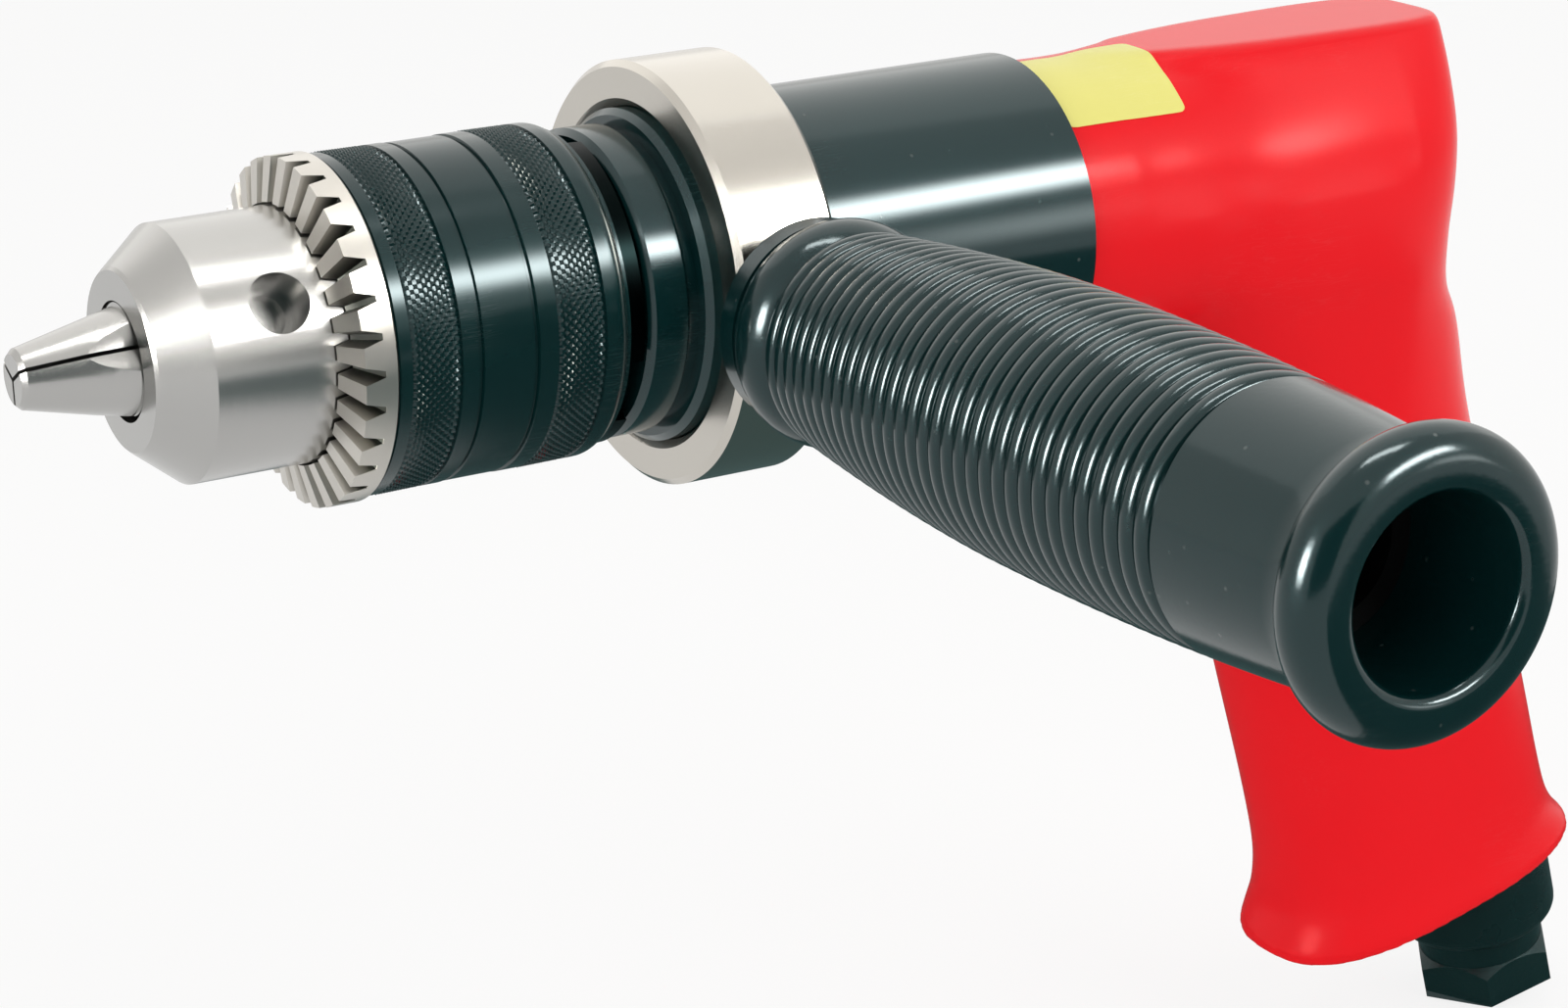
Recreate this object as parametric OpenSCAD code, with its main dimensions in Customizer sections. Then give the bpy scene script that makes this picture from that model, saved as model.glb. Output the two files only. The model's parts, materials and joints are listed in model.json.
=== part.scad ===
// Half-inch reversible air drill: pistol housing, two-stage planetary drive, keyed chuck and side handle.
// X runs forward along the spindle, Y towards the side handle and Z up.
// The origin is the centre of the chuck's nose face. All sizes are in millimetres.

/* [Chuck] */
// Outside diameter of the knurled sleeve
sleeve_d = 41.4; // [41.3:0.1:44]
// Length of the knurled sleeve
sleeve_l = 30.5; // [30:0.5:34]
// Diameter of the bright chuck body in front of the teeth
chuck_d = 30.8; // [30.4:0.1:31.4]
// Diameter of the flat nose face
nose_d = 22.2; // [20:0.2:24]
// Length of the cone behind the nose face
nose_cone_l = 5.7; // [4:0.1:7]
// Distance from the nose face to the bevel teeth
chuck_front_l = 20.2; // [19.2:0.2:23]
// Length of the bevel-tooth ring along the spindle
tooth_ring_l = 5.4; // [5:0.1:6.4]
// Number of bevel teeth that the chuck key turns
tooth_count = 30; // [26:1:34]
// Diameter of the key's pilot holes
key_hole_d = 7.4; // [6:0.1:7.8]
// Distance from the nose face to the pilot holes
key_hole_setback = 14.6; // [12:0.1:15]
// Largest shank that the jaws open to
capacity = 13; // [10:0.5:13]
// Diameter of the round jaws
jaw_d = 10; // [9:0.1:10.2]
// Slant of the jaws to the spindle, in degrees
jaw_slant = 15; // [14:0.2:15.4]
// Distance that the closed jaws stand out of the nose
jaw_reach = 13; // [10:0.5:15]

/* [Gear case and handle ring] */
// Outside diameter of the black barrel
barrel_d = 41.5; // [41.4:0.1:44]
// Length of the barrel behind the handle ring
barrel_l = 40.5; // [39.5:0.5:46]
// Diameter of the stepped nose behind the chuck
case_nose_d = 38.4; // [37:0.2:40]
// Distance from the front of the gear case to the handle ring
case_nose_l = 8.4; // [8:0.2:11]
// Outside diameter of the handle ring
ring_d = 53; // [50:0.5:58]
// Width of the handle ring
ring_w = 14.1; // [14:0.2:18]

/* [Planetary drive] */
// Gear module
gear_module = 0.7; // [0.64:0.01:0.7]
// Width of the second-stage planets
second_planet_w = 9.6; // [8:0.2:9.8]
// Width of the first-stage planets
first_planet_w = 8; // [6:0.2:8.2]
// Diameter of the planet pins
planet_pin_d = 5; // [4:0.1:5.4]
// Diameter of the spindle's thread in the chuck
spindle_thread_d = 12.7; // [11:0.1:12.9]
// Bore of the front ball bearing
front_bearing_bore = 15; // [13:0.5:15]
// Outside diameter of the front ball bearing
front_bearing_d = 32; // [30:0.5:32]

/* [Air motor] */
// Diameter of the bore that holds the motor
motor_bore_d = 34; // [32:0.2:34]
// Length of the motor cylinder
cylinder_l = 34; // [30:0.5:35]
// Diameter of the rotor
rotor_d = 24; // [22:0.2:24]
// Bore of the motor cylinder
cylinder_bore_d = 27.2; // [27.2:0.1:27.6]
// Number of vanes
vane_count = 5; // [4:1:6]
// Thickness of a vane
vane_t = 2; // [1.5:0.1:2.4]

/* [Housing and grip] */
// Diameter of the round collar behind the barrel
collar_d = 38.6; // [38.4:0.1:40]
// Height of the flat top above the spindle axis
top_h = 19.7; // [19.4:0.1:21]
// Width of the motor body
body_w = 39; // [38.6:0.2:42]
// Length from the collar's front to the back of the flat top
body_l = 68; // [66:0.5:74]
// Backward rake of the grip, in degrees
grip_rake = 13.7; // [10:0.1:16]
// Length of the grip below the spindle axis, along the grip
grip_l = 114.6; // [112:0.2:122]
// Depth of the grip from front to back
grip_depth = 46.6; // [46.2:0.2:50]
// Width of the grip
grip_w = 29; // [28:0.2:32]
// Distance of the trigger below the spindle axis, along the grip
valve_drop = 32; // [31:0.5:35]
// Travel of the trigger
trigger_travel = 5; // [3:0.5:5]
// Width across the flats of the inlet bushing
inlet_flats = 18.6; // [17:0.1:19]
// Bore of the inlet's pipe thread
inlet_bore_d = 11.2; // [10:0.1:12]

/* [Side handle] */
// Distance from the spindle axis to the handle's open end
handle_reach = 145.3; // [135:0.5:160]
// Diameter over the ribs where the grip is thickest
handle_d = 31.6; // [30:0.1:34]
// Diameter of the end flange
handle_flange_d = 32.2; // [31:0.2:36]
// Bore of the handle's open end
handle_bore_d = 20.1; // [18:0.1:20.6]
// Number of ribs on the rubber
rib_count = 32; // [20:1:34]

/* [Hidden] */

// Shared clearances and resolution
round_fn = 96;
small_fn = 48;
overrun = 1;
running_fit = 0.05;
seat_fit = 0.02;
slide_fit = 0.08;
free_gap = 0.3;
edge_chamfer = 0.8;

// Radii that several pieces share
sleeve_r = sleeve_d / 2;
chuck_r = chuck_d / 2;
nose_r = nose_d / 2;
jaw_r = jaw_d / 2;
barrel_r = barrel_d / 2;
case_nose_r = case_nose_d / 2;
ring_r = ring_d / 2;
thread_r = spindle_thread_d / 2;
motor_bore_r = motor_bore_d / 2;
collar_r = collar_d / 2;
pin_r = planet_pin_d / 2;

// Jaws: outer line of the slanted cylinders, opening stroke and clocking
jaw_clock = 90.7;
jaw_step = 120;
jaw_mouth_share = 0.7;
jaw_mouth_r = jaw_d * jaw_mouth_share;
jaw_axis_r = jaw_mouth_r - jaw_r / cos(jaw_slant);
jaw_stroke_x = capacity / 2 / tan(jaw_slant);
jaw_tail = 29.6;
jaw_slit = 0.5;
jaw_tip_r = 3.6;
jaw_nose_r = 6.5;
tip_edge = 0.6;
mouth_r = jaw_mouth_r + 2 * slide_fit;
function jaw_outer(x) = jaw_mouth_r - x * tan(jaw_slant);

// Chuck stations along X, from the nose face back
body_tail = 2;
nose_gap = 1;
x_teeth = -chuck_front_l;
x_sleeve = x_teeth - tooth_ring_l;
x_sleeve_rear = x_sleeve - sleeve_l;
x_chuck_rear = x_sleeve_rear - body_tail;
x_case = x_chuck_rear - nose_gap;
nut_l = 7.4;
x_nut = x_sleeve - free_gap;
x_nut_rear = x_nut - nut_l;
neck_r = 11.4;
sleeve_wall = 0.9;
nut_wall = 1.5;
nut_seat_r = sleeve_r - nut_wall;
sleeve_bore_r = sleeve_r - sleeve_wall;
flange_r = sleeve_bore_r - free_gap;
shank_bore_r = capacity / 2 + 2 * running_fit;
spindle_grip_l = 17.5;
x_thread = x_chuck_rear + spindle_grip_l;
key_hole_floor = 9;
key_step_floor = 7.6;
key_step_r = 2.8;
key_clock = jaw_clock - jaw_step / 2;
rim_r = sleeve_r + free_gap;
crown_drop = 1.15;
tooth_clock = -1;

// Gear case stations
x_ring = x_case - case_nose_l;
x_ring_rear = x_ring - ring_w;
x_case_rear = x_ring_rear - barrel_l;
seal_l = 3.2;
seal_r = 11;
seal_bore_r = 9.6;
bearing_w = 9;
x_bearing = x_case - seal_l;
x_carrier = x_bearing - bearing_w - free_gap;
carrier_t = 8;
second_gap = 0.5;
x_second = x_carrier - carrier_t - second_gap;
x_second_rear = x_second - second_planet_w;
pin_end = 0.7;
carrier_gap = 1.6;
first_carrier_t = 5;
x_first_carrier = x_second_rear - carrier_gap;
x_first = x_first_carrier - first_carrier_t - second_gap;
x_first_rear = x_first - first_planet_w;
x_gear_rear = x_first_rear - carrier_gap;
carrier_relief = 0.5;
carrier_bore_r = front_bearing_d / 2 + carrier_relief;

// Gear geometry: equal modules, so the ring gear follows from sun and planet
pressure_angle = 25;
backlash = 0.04;
tip_share = 0.95;
root_share = 1.25;
ring_tip_share = 0.9;
planet_step = 120;
sun_teeth = 12;
planet_teeth = 18;
ring_teeth = sun_teeth + 2 * planet_teeth;
carrier_r = gear_module * (sun_teeth + planet_teeth) / 2;
ring_pitch_r = gear_module * ring_teeth / 2;
ring_wall = 1.3;
ring_gear_r = ring_pitch_r + root_share * gear_module + ring_wall;
carrier_plate_r = ring_pitch_r - 2 * gear_module;

// Motor stations
spacer_l = 6;
plate_l = 7.5;
rear_plate_l = 7;
plate_floor = 1.2;
end_gap = 0.15;
x_front_plate = x_gear_rear - spacer_l;
x_cylinder = x_front_plate - plate_l;
x_rear_plate = x_cylinder - cylinder_l;
x_motor_end = x_rear_plate - rear_plate_l;
motor_bearing_r = 11;
motor_bearing_bore_r = 4;
motor_rear_bearing_r = 9.5;
rotor_r = rotor_d / 2;
cylinder_bore_r = cylinder_bore_d / 2;
cylinder_offset = cylinder_bore_r - rotor_r - end_gap;
pinion_shaft_r = 2.2;
vane_depth = 6;
spigot_l = 12.5;
spigot_r = ring_gear_r - seat_fit;

// Grip frame: its Z runs up along the grip, and its origin lies on the spindle axis
grip_setback = 44.4;
grip_x = x_case_rear - grip_setback;
grip_half_d = grip_depth / 2;
grip_half_w = grip_w / 2;
inlet_v = -10.55;
inlet_spigot_r = 7.9;
inlet_spigot_l = 21;
inlet_passage_r = 5.2;
inlet_shoulder_r = 11.9;
inlet_seal_t = 1;
inlet_shoulder_l = 11.4;
inlet_neck_l = 4;
inlet_neck_step = 0.2;
inlet_hex_l = 6.1;
inlet_hex_edge = 1.4;
inlet_thread_l = 13;
inlet_round = 2.2;
inlet_hex_clock = 54;
valve_bore_r = 6.5;
valve_end = 13;
deflector_v = 12.6;
deflector_r = 10.4;
deflector_t = 3;
exhaust_r = 6.5;
exhaust_top = 44;
exhaust_port_y = 9.4;
exhaust_port_r = 2.3;
cross_share = 0.8;
cross_r = cross_share * exhaust_port_r;
cross_drop = exhaust_top + 2 * exhaust_port_r;
feed_port_r = 3;
feed_port_v = 8;
screw_y = 8.1;
screw_r = 1.25;
screw_head_r = 2.1;
screw_head_l = 1.6;
screw_l = 9;

// Throttle stations along the valve axis
bushing_r = valve_bore_r - seat_fit;
bushing_out = 6.2;
bushing_rear = 4;
bushing_front = grip_half_d + bushing_out;
stem_r = 2.25;
chamber_r = 4.7;
chamber_front = 12;
seat_t = 2;
seat_bore_r = 3.2;
poppet_r = 4.6;
poppet_t = 3;
poppet_front = bushing_rear - seat_t;
button_gap = 0.6;
button_rear = bushing_front + trigger_travel + button_gap;
button_l = 9;
button_h = 27;
button_w = 15;
button_hollow_r = 24;
button_hollow = 1.8;
button_socket = 6;
lever_t = 4.2;
lever_rim = 2.2;
lever_reach = 17;
lever_paddle_r = 4.4;

// Side handle stations along Y
x_handle = x_ring - ring_w / 2;
handle_face = 30.6;
boss_r = 7;
boss_gap = 0.4;
boss_top = handle_face - boss_gap;
stud_r = 5;
stud_end = 46;
stud_tip = barrel_r + free_gap;
core_wall = 2.3;
core_plug = 47;
core_end_setback = 17;
handle_bore_r = handle_bore_d / 2;
lip_r = 13.7;
lip_l = 10.6;
lip_spread = 52;
lip_plate_r = 12.5;
lip_plate_l = 2.8;
rib_start = 41.4;
rib_stop = 118.3;
rib_depth = 0.75;
rib_crest_share = 0.35;
rib_side_share = 0.6;
rib_foot_share = 0.25;
belly_y = 83;
inner_thin = 2.7;
inner_power = 1.7;
outer_thin = 2.5;
outer_power = 2.2;
flange_round = 3.7;
neck_round = 1.6;
neck_steps = 6;
bore_round = 1.5;

// Turn a profile of [radius, x] points about the X axis
module turned(points) {
  rotate([0, 90, 0])
    rotate_extrude($fn = round_fn)
      polygon(points);
}

// Turn a profile of [radius, y] points about the Y axis
module turned_y(points) {
  rotate([-90, 0, 0])
    rotate_extrude($fn = round_fn)
      polygon(points);
}

// A plain rod along X from one station back to another
module rod(r, x_from, x_to) {
  translate([min(x_from, x_to), 0, 0])
    rotate([0, 90, 0])
      cylinder(r = r, h = abs(x_from - x_to), $fn = small_fn);
}

// A ring along X between two stations
module tube(r_out, r_in, x_from, x_to) {
  turned([[r_in, x_from], [r_out, x_from], [r_out, x_to], [r_in, x_to]]);
}

// Extrude a (y, z) outline along X between two stations
module along_x(x_from, x_to) {
  translate([min(x_from, x_to), 0, 0])
    rotate([90, 0, 90])
      linear_extrude(height = abs(x_from - x_to))
        children();
}

// Place children in the grip frame, or on the valve axis within it
module in_grip() {
  translate([grip_x, 0, 0])
    rotate([0, grip_rake, 0])
      children();
}
module on_valve() {
  in_grip()
    translate([0, 0, -valve_drop])
      children();
}

// Points of an arc about a centre, from one angle to another
function arc(centre, r, from, to, steps = 6) = [
  for (i = [0 : steps]) centre + r * [cos(from + (to - from) * i / steps), sin(from + (to - from) * i / steps)]
];

// Involute gear outline; thin narrows each flank, and negative thin widens it
function involute(angle) = tan(angle) * 180 / PI - angle;
function flank_angle(r, teeth, thin) =
  let (pitch_r = gear_module * teeth / 2)
  let (base_r = pitch_r * cos(pressure_angle))
  90 / teeth - thin / pitch_r * 180 / PI + involute(pressure_angle) - involute(acos(min(1, base_r / r)));
function gear_points(teeth, root_r, tip_r, thin, phase) =
  let (steps = 5)
  let (radii = [for (k = [0 : steps]) root_r + (tip_r - root_r) * k / steps])
  [
    for (i = [0 : teeth - 1])
      let (middle = phase + i * 360 / teeth)
      for (k = [0 : 2 * steps + 1])
        let (side = k <= steps ? -1 : 1)
        let (r = k <= steps ? radii[k] : radii[2 * steps + 1 - k])
        let (a = middle + side * flank_angle(r, teeth, thin))
        [r * cos(a), r * sin(a)]
  ];
module gear_outline(teeth, phase) {
  pitch_r = gear_module * teeth / 2;
  polygon(gear_points(teeth, pitch_r - root_share * gear_module, pitch_r + tip_share * gear_module,
                      backlash, phase));
}

// A ball bearing: two grooved races and a ring of balls
module ball_bearing(r_out, r_in, x_from, width, balls) {
  middle_r = (r_out + r_in) / 2;
  ball_share = 0.28;
  race_share = 0.3;
  ball_r = (r_out - r_in) * ball_share;
  race = (r_out - r_in) * race_share;
  x_middle = x_from - width / 2;
  difference() {
    union() {
      tube(r_out - seat_fit, r_out - race, x_from, x_from - width);
      tube(r_in + race, r_in, x_from, x_from - width);
    }
    translate([x_middle, 0, 0])
      rotate([0, 90, 0])
        rotate_extrude($fn = round_fn)
          translate([middle_r, 0])
            circle(r = ball_r + running_fit, $fn = small_fn);
  }
  for (i = [0 : balls - 1])
    rotate([i * 360 / balls, 0, 0])
      translate([x_middle, middle_r, 0])
        sphere(r = ball_r, $fn = small_fn);
}

// Housing loft: superellipse sections, egg-shaped where they taper forward, each written as
// [centre x, centre z, tilt, half depth, half width, front squareness, rear squareness, taper]
// Body rows: height, front, back and width as shares of the body's sizes, then both squarenesses and the taper
body_shares = [
  [1, 0.155, 0.975, 0.42, 1.8, 3.8, 0.22],
  [0.985, 0.145, 0.982, 0.46, 1.9, 3.8, 0.2],
  [0.93, 0.15, 0.985, 0.53, 2, 3.8, 0.15],
  [0.6, 0.2, 0.985, 0.76, 2.4, 3.8, 0.05],
  [0.25, 0.22, 0.983, 0.95, 2.8, 3.6, 0],
  [-0.1, 0.21, 0.98, 1, 3, 3.4, 0],
  [-0.5, 0.21, 0.978, 0.97, 2.9, 3.2, 0],
  [-0.88, 0.29, 1, 0.88, 2.7, 2.9, 0]
];
// Grip rows: distance down, front, back and width as shares of the grip's sizes, then both squarenesses and the taper
grip_shares = [
  [0.26, 0.95, 0.9, 1.05, 2.5, 2.5, 0],
  [0.38, 1.01, 0.9, 1.01, 2.4, 2.4, 0],
  [0.6, 1, 0.95, 0.99, 2.4, 2.4, 0],
  [0.78, 0.98, 0.98, 0.98, 2.4, 2.4, 0],
  [0.88, 0.98, 0.98, 0.99, 2.5, 2.5, 0],
  [0.935, 1.03, 1, 1.01, 2.6, 2.5, 0],
  [0.965, 1.1, 1.04, 1.04, 2.7, 2.6, 0],
  [0.985, 1.16, 1.1, 1.07, 2.7, 2.6, 0],
  [0.995, 1.165, 1.11, 1.07, 2.7, 2.6, 0],
  [1, 1.12, 1.08, 1.04, 2.7, 2.6, 0]
];
function body_section(row) =
  let (front = x_case_rear - row[1] * body_l)
  let (back = x_case_rear - row[2] * body_l)
  [(front + back) / 2, row[0] * top_h, 0, (front - back) / 2, row[3] * body_w / 2, row[4], row[5], row[6]];
function grip_section(row) =
  let (middle = (row[1] - row[2]) / 2 * grip_half_d)
  let (down = row[0] * grip_l)
  [grip_x + middle * cos(grip_rake) - down * sin(grip_rake), -middle * sin(grip_rake) - down * cos(grip_rake),
   grip_rake, (row[1] + row[2]) / 2 * grip_half_d, row[3] * grip_half_w, row[4], row[5], row[6]];
housing_sections = concat([for (row = body_shares) body_section(row)], [for (row = grip_shares) grip_section(row)]);
loft_sides = 40;
collar_l = 20;
collar_fade = 1.6;
loft_steps = 2;

// A smooth curve through the rows, read at row i plus k
function spline(rows, i, k) =
  let (last = len(rows) - 1)
  let (a = rows[max(i - 1, 0)])
  let (b = rows[i])
  let (c = rows[min(i + 1, last)])
  let (d = rows[min(i + 2, last)])
  b + k * (c - a) / 2 + k * k * (a - 2.5 * b + 2 * c - d / 2) + k * k * k * (1.5 * (b - c) + (d - a) / 2);
function power_of(value, squareness) = sign(value) * pow(abs(value), 2 / squareness);
function section_points(s) = [
  for (i = [0 : loft_sides - 1])
    let (angle = i * 360 / loft_sides)
    let (squareness = cos(angle) > 0 ? s[5] : s[6])
    let (along = power_of(cos(angle), squareness))
    let (across = power_of(sin(angle), squareness) * (1 - s[7] * along))
    [s[0] + s[3] * along * cos(s[2]), s[4] * across, s[1] - s[3] * along * sin(s[2])]
];
module housing_loft() {
  count = len(housing_sections);
  sections = concat(
    [for (i = [0 : count - 2]) for (j = [0 : loft_steps - 1]) spline(housing_sections, i, j / loft_steps)],
    [housing_sections[count - 1]]
  );
  rings = len(sections);
  points = [for (s = sections) each section_points(s)];
  top = [[for (i = [0 : loft_sides - 1]) loft_sides - 1 - i]];
  bottom = [[for (i = [0 : loft_sides - 1]) (rings - 1) * loft_sides + i]];
  walls = [
    for (r = [0 : rings - 2])
      for (i = [0 : loft_sides - 1])
        let (n = (i + 1) % loft_sides)
        let (a = r * loft_sides)
        let (b = a + loft_sides)
        each [[a + i, a + n, b + n], [a + i, b + n, b + i]]
  ];
  polyhedron(points = points, faces = concat(top, walls, bottom), convexity = 6);
}

// Red cast housing with its motor bore, valve bore and air passages
module motor_housing() {
  color("firebrick")
    difference() {
      union() {
        housing_loft();
        turned([[0, x_case_rear], [collar_r, x_case_rear], [collar_r, x_case_rear - collar_l],
                [collar_r - collar_fade, x_case_rear - body_l / 2], [0, x_case_rear - body_l / 2]]);
        rod(spigot_r, x_case_rear + spigot_l, x_case_rear - overrun);
      }
      rod(motor_bore_r, x_case_rear + spigot_l + overrun, x_motor_end);
      on_valve()
        rod(valve_bore_r, grip_depth, -valve_end);
      in_grip()
        housing_passages();
    }
}

// Air passages of the housing, drawn in the grip frame
module housing_passages() {
  translate([inlet_v, 0, -grip_l - overrun])
    cylinder(r = inlet_spigot_r + seat_fit, h = inlet_spigot_l + overrun, $fn = small_fn);
  translate([inlet_v, 0, -grip_l])
    cylinder(r = inlet_passage_r, h = grip_l - valve_drop, $fn = small_fn);
  translate([deflector_v, 0, -grip_l - overrun])
    cylinder(r = deflector_r + slide_fit, h = deflector_t + overrun, $fn = small_fn);
  translate([deflector_v, 0, -grip_l])
    cylinder(r = exhaust_r, h = grip_l - exhaust_top, $fn = small_fn);
  translate([deflector_v, 0, -cross_drop])
    rotate([90, 0, 0])
      cylinder(r = cross_r, h = 2 * exhaust_port_y, center = true, $fn = small_fn);
  for (side = [-1, 1]) {
    translate([deflector_v, side * exhaust_port_y, -cross_drop - exhaust_port_r])
      cylinder(r = exhaust_port_r, h = cross_drop, $fn = small_fn);
    translate([deflector_v, side * screw_y, -grip_l])
      cylinder(r = screw_r + seat_fit, h = screw_l, $fn = small_fn);
  }
  translate([feed_port_v, 0, -valve_drop])
    cylinder(r = feed_port_r, h = valve_drop, $fn = small_fn);
}

// Black gear case: stepped nose, handle seat and barrel in one turned piece
module gear_case() {
  groove_depth = 1;
  groove_l = 2;
  shoulder_gap = 1.4;
  groove_r = case_nose_r - groove_depth;
  land_l = case_nose_l - shoulder_gap;
  color("darkslategray")
    turned([
      [seal_r + seat_fit, x_case],
      [case_nose_r - edge_chamfer, x_case],
      [case_nose_r, x_case - edge_chamfer],
      [case_nose_r, x_case - land_l + groove_l],
      [groove_r, x_case - land_l + groove_l - edge_chamfer],
      [groove_r, x_case - land_l],
      [barrel_r - edge_chamfer, x_case - land_l],
      [barrel_r, x_case - land_l - edge_chamfer],
      [barrel_r, x_case_rear],
      [ring_gear_r + seat_fit, x_case_rear],
      [ring_gear_r + seat_fit, x_second + free_gap],
      [carrier_bore_r, x_second + free_gap],
      [carrier_bore_r, x_carrier + free_gap / 2],
      [front_bearing_d / 2, x_carrier + free_gap / 2],
      [front_bearing_d / 2, x_bearing],
      [seal_r + seat_fit, x_bearing]
    ]);
}

// Internal ring gear that both planet stages run in
module ring_gear() {
  color("slategray")
    along_x(x_second + free_gap, x_gear_rear)
      difference() {
        circle(r = ring_gear_r, $fn = round_fn);
        polygon(gear_points(ring_teeth, ring_pitch_r - ring_tip_share * gear_module,
                            ring_pitch_r + root_share * gear_module, -backlash, 180 / ring_teeth));
      }
}

// Front ball bearing that carries the spindle
module front_bearing() {
  bearing_balls = 9;
  color("silver")
    ball_bearing(front_bearing_d / 2, front_bearing_bore / 2, x_bearing, bearing_w, bearing_balls);
}

// Lip seal in the nose of the gear case
module spindle_seal() {
  color("dimgray")
    tube(seal_r, seal_bore_r, x_case - edge_chamfer, x_bearing);
}

// Tube that clamps the ring gear against the motor's front plate
module gear_spacer() {
  spacer_wall = 2.4;
  color("gray")
    tube(motor_bore_r - slide_fit, motor_bore_r - spacer_wall, x_gear_rear, x_front_plate);
}

// Front end plate of the motor, bored for its bearing
module motor_front_plate() {
  color("lightslategray")
    turned([
      [motor_bearing_r, x_front_plate],
      [motor_bore_r - seat_fit, x_front_plate],
      [motor_bore_r - seat_fit, x_cylinder],
      [motor_bearing_bore_r + free_gap, x_cylinder],
      [motor_bearing_bore_r + free_gap, x_cylinder + plate_floor],
      [motor_bearing_r, x_cylinder + plate_floor]
    ]);
}
module motor_front_bearing() {
  bearing_balls = 7;
  color("silver")
    ball_bearing(motor_bearing_r, motor_bearing_bore_r, x_front_plate - free_gap / 2,
                 plate_l - plate_floor - free_gap / 2, bearing_balls);
}

// Motor cylinder with its bore set off the rotor's axis
module motor_cylinder() {
  port_w = 3;
  port_l = cylinder_l / 2;
  color("lightsteelblue")
    difference() {
      rod(motor_bore_r - seat_fit, x_cylinder, x_rear_plate);
      translate([0, 0, -cylinder_offset])
        rod(cylinder_bore_r, x_cylinder + overrun, x_rear_plate - overrun);
      for (side = [-1, 1])
        translate([x_cylinder - cylinder_l / 2, side * port_w, -motor_bore_r])
          cube([port_l, port_w, motor_bore_r], center = true);
    }
}
module motor_rear_plate() {
  color("lightslategray")
    turned([
      [motor_bearing_bore_r + free_gap, x_rear_plate],
      [motor_bore_r - seat_fit, x_rear_plate],
      [motor_bore_r - seat_fit, x_motor_end],
      [motor_rear_bearing_r, x_motor_end],
      [motor_rear_bearing_r, x_rear_plate - plate_floor],
      [motor_bearing_bore_r + free_gap, x_rear_plate - plate_floor]
    ]);
}
module motor_rear_bearing() {
  bearing_balls = 7;
  color("silver")
    ball_bearing(motor_rear_bearing_r, motor_bearing_bore_r, x_rear_plate - plate_floor - free_gap / 2,
                 rear_plate_l - plate_floor - free_gap / 2, bearing_balls);
}

// Brass bushing that guides the throttle stem, with the port that feeds the motor
module throttle_bushing() {
  color("goldenrod")
    on_valve()
      difference() {
        turned([
          [stem_r + running_fit, bushing_front],
          [bushing_r, bushing_front],
          [bushing_r, bushing_rear],
          [chamber_r, bushing_rear],
          [chamber_r, chamber_front],
          [stem_r + running_fit, chamber_front]
        ]);
        translate([feed_port_v, 0, 0])
          cylinder(r = feed_port_r, h = valve_drop, $fn = small_fn);
      }
}
module valve_seat() {
  color("dimgray")
    on_valve()
      tube(bushing_r, seat_bore_r, bushing_rear, bushing_rear - seat_t);
}

// Black inlet bushing: spigot, round shoulder, neck and hexagon
module inlet_bushing() {
  shoulder_top = -grip_l - inlet_seal_t;
  shoulder_end = shoulder_top - inlet_shoulder_l;
  hex_top = shoulder_end - inlet_neck_l;
  hex_end = hex_top - inlet_hex_l;
  hex_r = inlet_flats / 2 / cos(30);
  neck_r = inlet_flats / 2 - inlet_neck_step;
  color("black")
    in_grip()
      translate([inlet_v, 0, 0])
        difference() {
          union() {
            rotate_extrude($fn = round_fn)
              polygon(concat(
                [[0, inlet_spigot_l - grip_l - free_gap],
                 [inlet_spigot_r, inlet_spigot_l - grip_l - free_gap],
                 [inlet_spigot_r, shoulder_top],
                 [inlet_shoulder_r, shoulder_top]],
                arc([inlet_shoulder_r - inlet_round, shoulder_end + inlet_round], inlet_round, 0, -90),
                [[neck_r, shoulder_end],
                 [neck_r, hex_top - inlet_hex_edge],
                 [0, hex_top - inlet_hex_edge]]
              ));
            intersection() {
              translate([0, 0, hex_end])
                rotate([0, 0, inlet_hex_clock])
                  cylinder(r = hex_r, h = inlet_hex_l, $fn = 6);
              rotate_extrude($fn = round_fn)
                polygon([[0, hex_end], [hex_r, hex_end], [hex_r, hex_top - inlet_hex_edge],
                         [neck_r + inlet_neck_step / 2, hex_top], [0, hex_top]]);
            }
          }
          translate([0, 0, hex_end - overrun])
            cylinder(r = inlet_bore_d / 2, h = inlet_thread_l + overrun, $fn = small_fn);
          translate([0, 0, hex_end])
            cylinder(r = inlet_passage_r, h = grip_l, $fn = small_fn);
        }
}

// Flat washer between the inlet bushing and the foot of the grip
module inlet_seal() {
  color("dimgray")
    in_grip()
      translate([inlet_v, 0, -grip_l - inlet_seal_t])
        difference() {
          cylinder(r = inlet_shoulder_r - free_gap, h = inlet_seal_t, $fn = round_fn);
          translate([0, 0, -overrun])
            cylinder(r = inlet_spigot_r + seat_fit, h = inlet_seal_t + 2 * overrun, $fn = round_fn);
        }
}
module inlet_screen() {
  screen_t = 1;
  screen_holes = 6;
  screen_hole_r = 1.1;
  screen_ring_share = 0.58;
  color("silver")
    in_grip()
      translate([inlet_v, 0, inlet_spigot_l - grip_l - 2 * screen_t])
        difference() {
          cylinder(r = inlet_passage_r - seat_fit, h = screen_t, $fn = small_fn);
          for (i = [0 : screen_holes - 1])
            rotate([0, 0, i * 360 / screen_holes])
              translate([inlet_passage_r * screen_ring_share, 0, -overrun])
                cylinder(r = screen_hole_r, h = screen_t + 2 * overrun, $fn = small_fn);
        }
}

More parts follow.
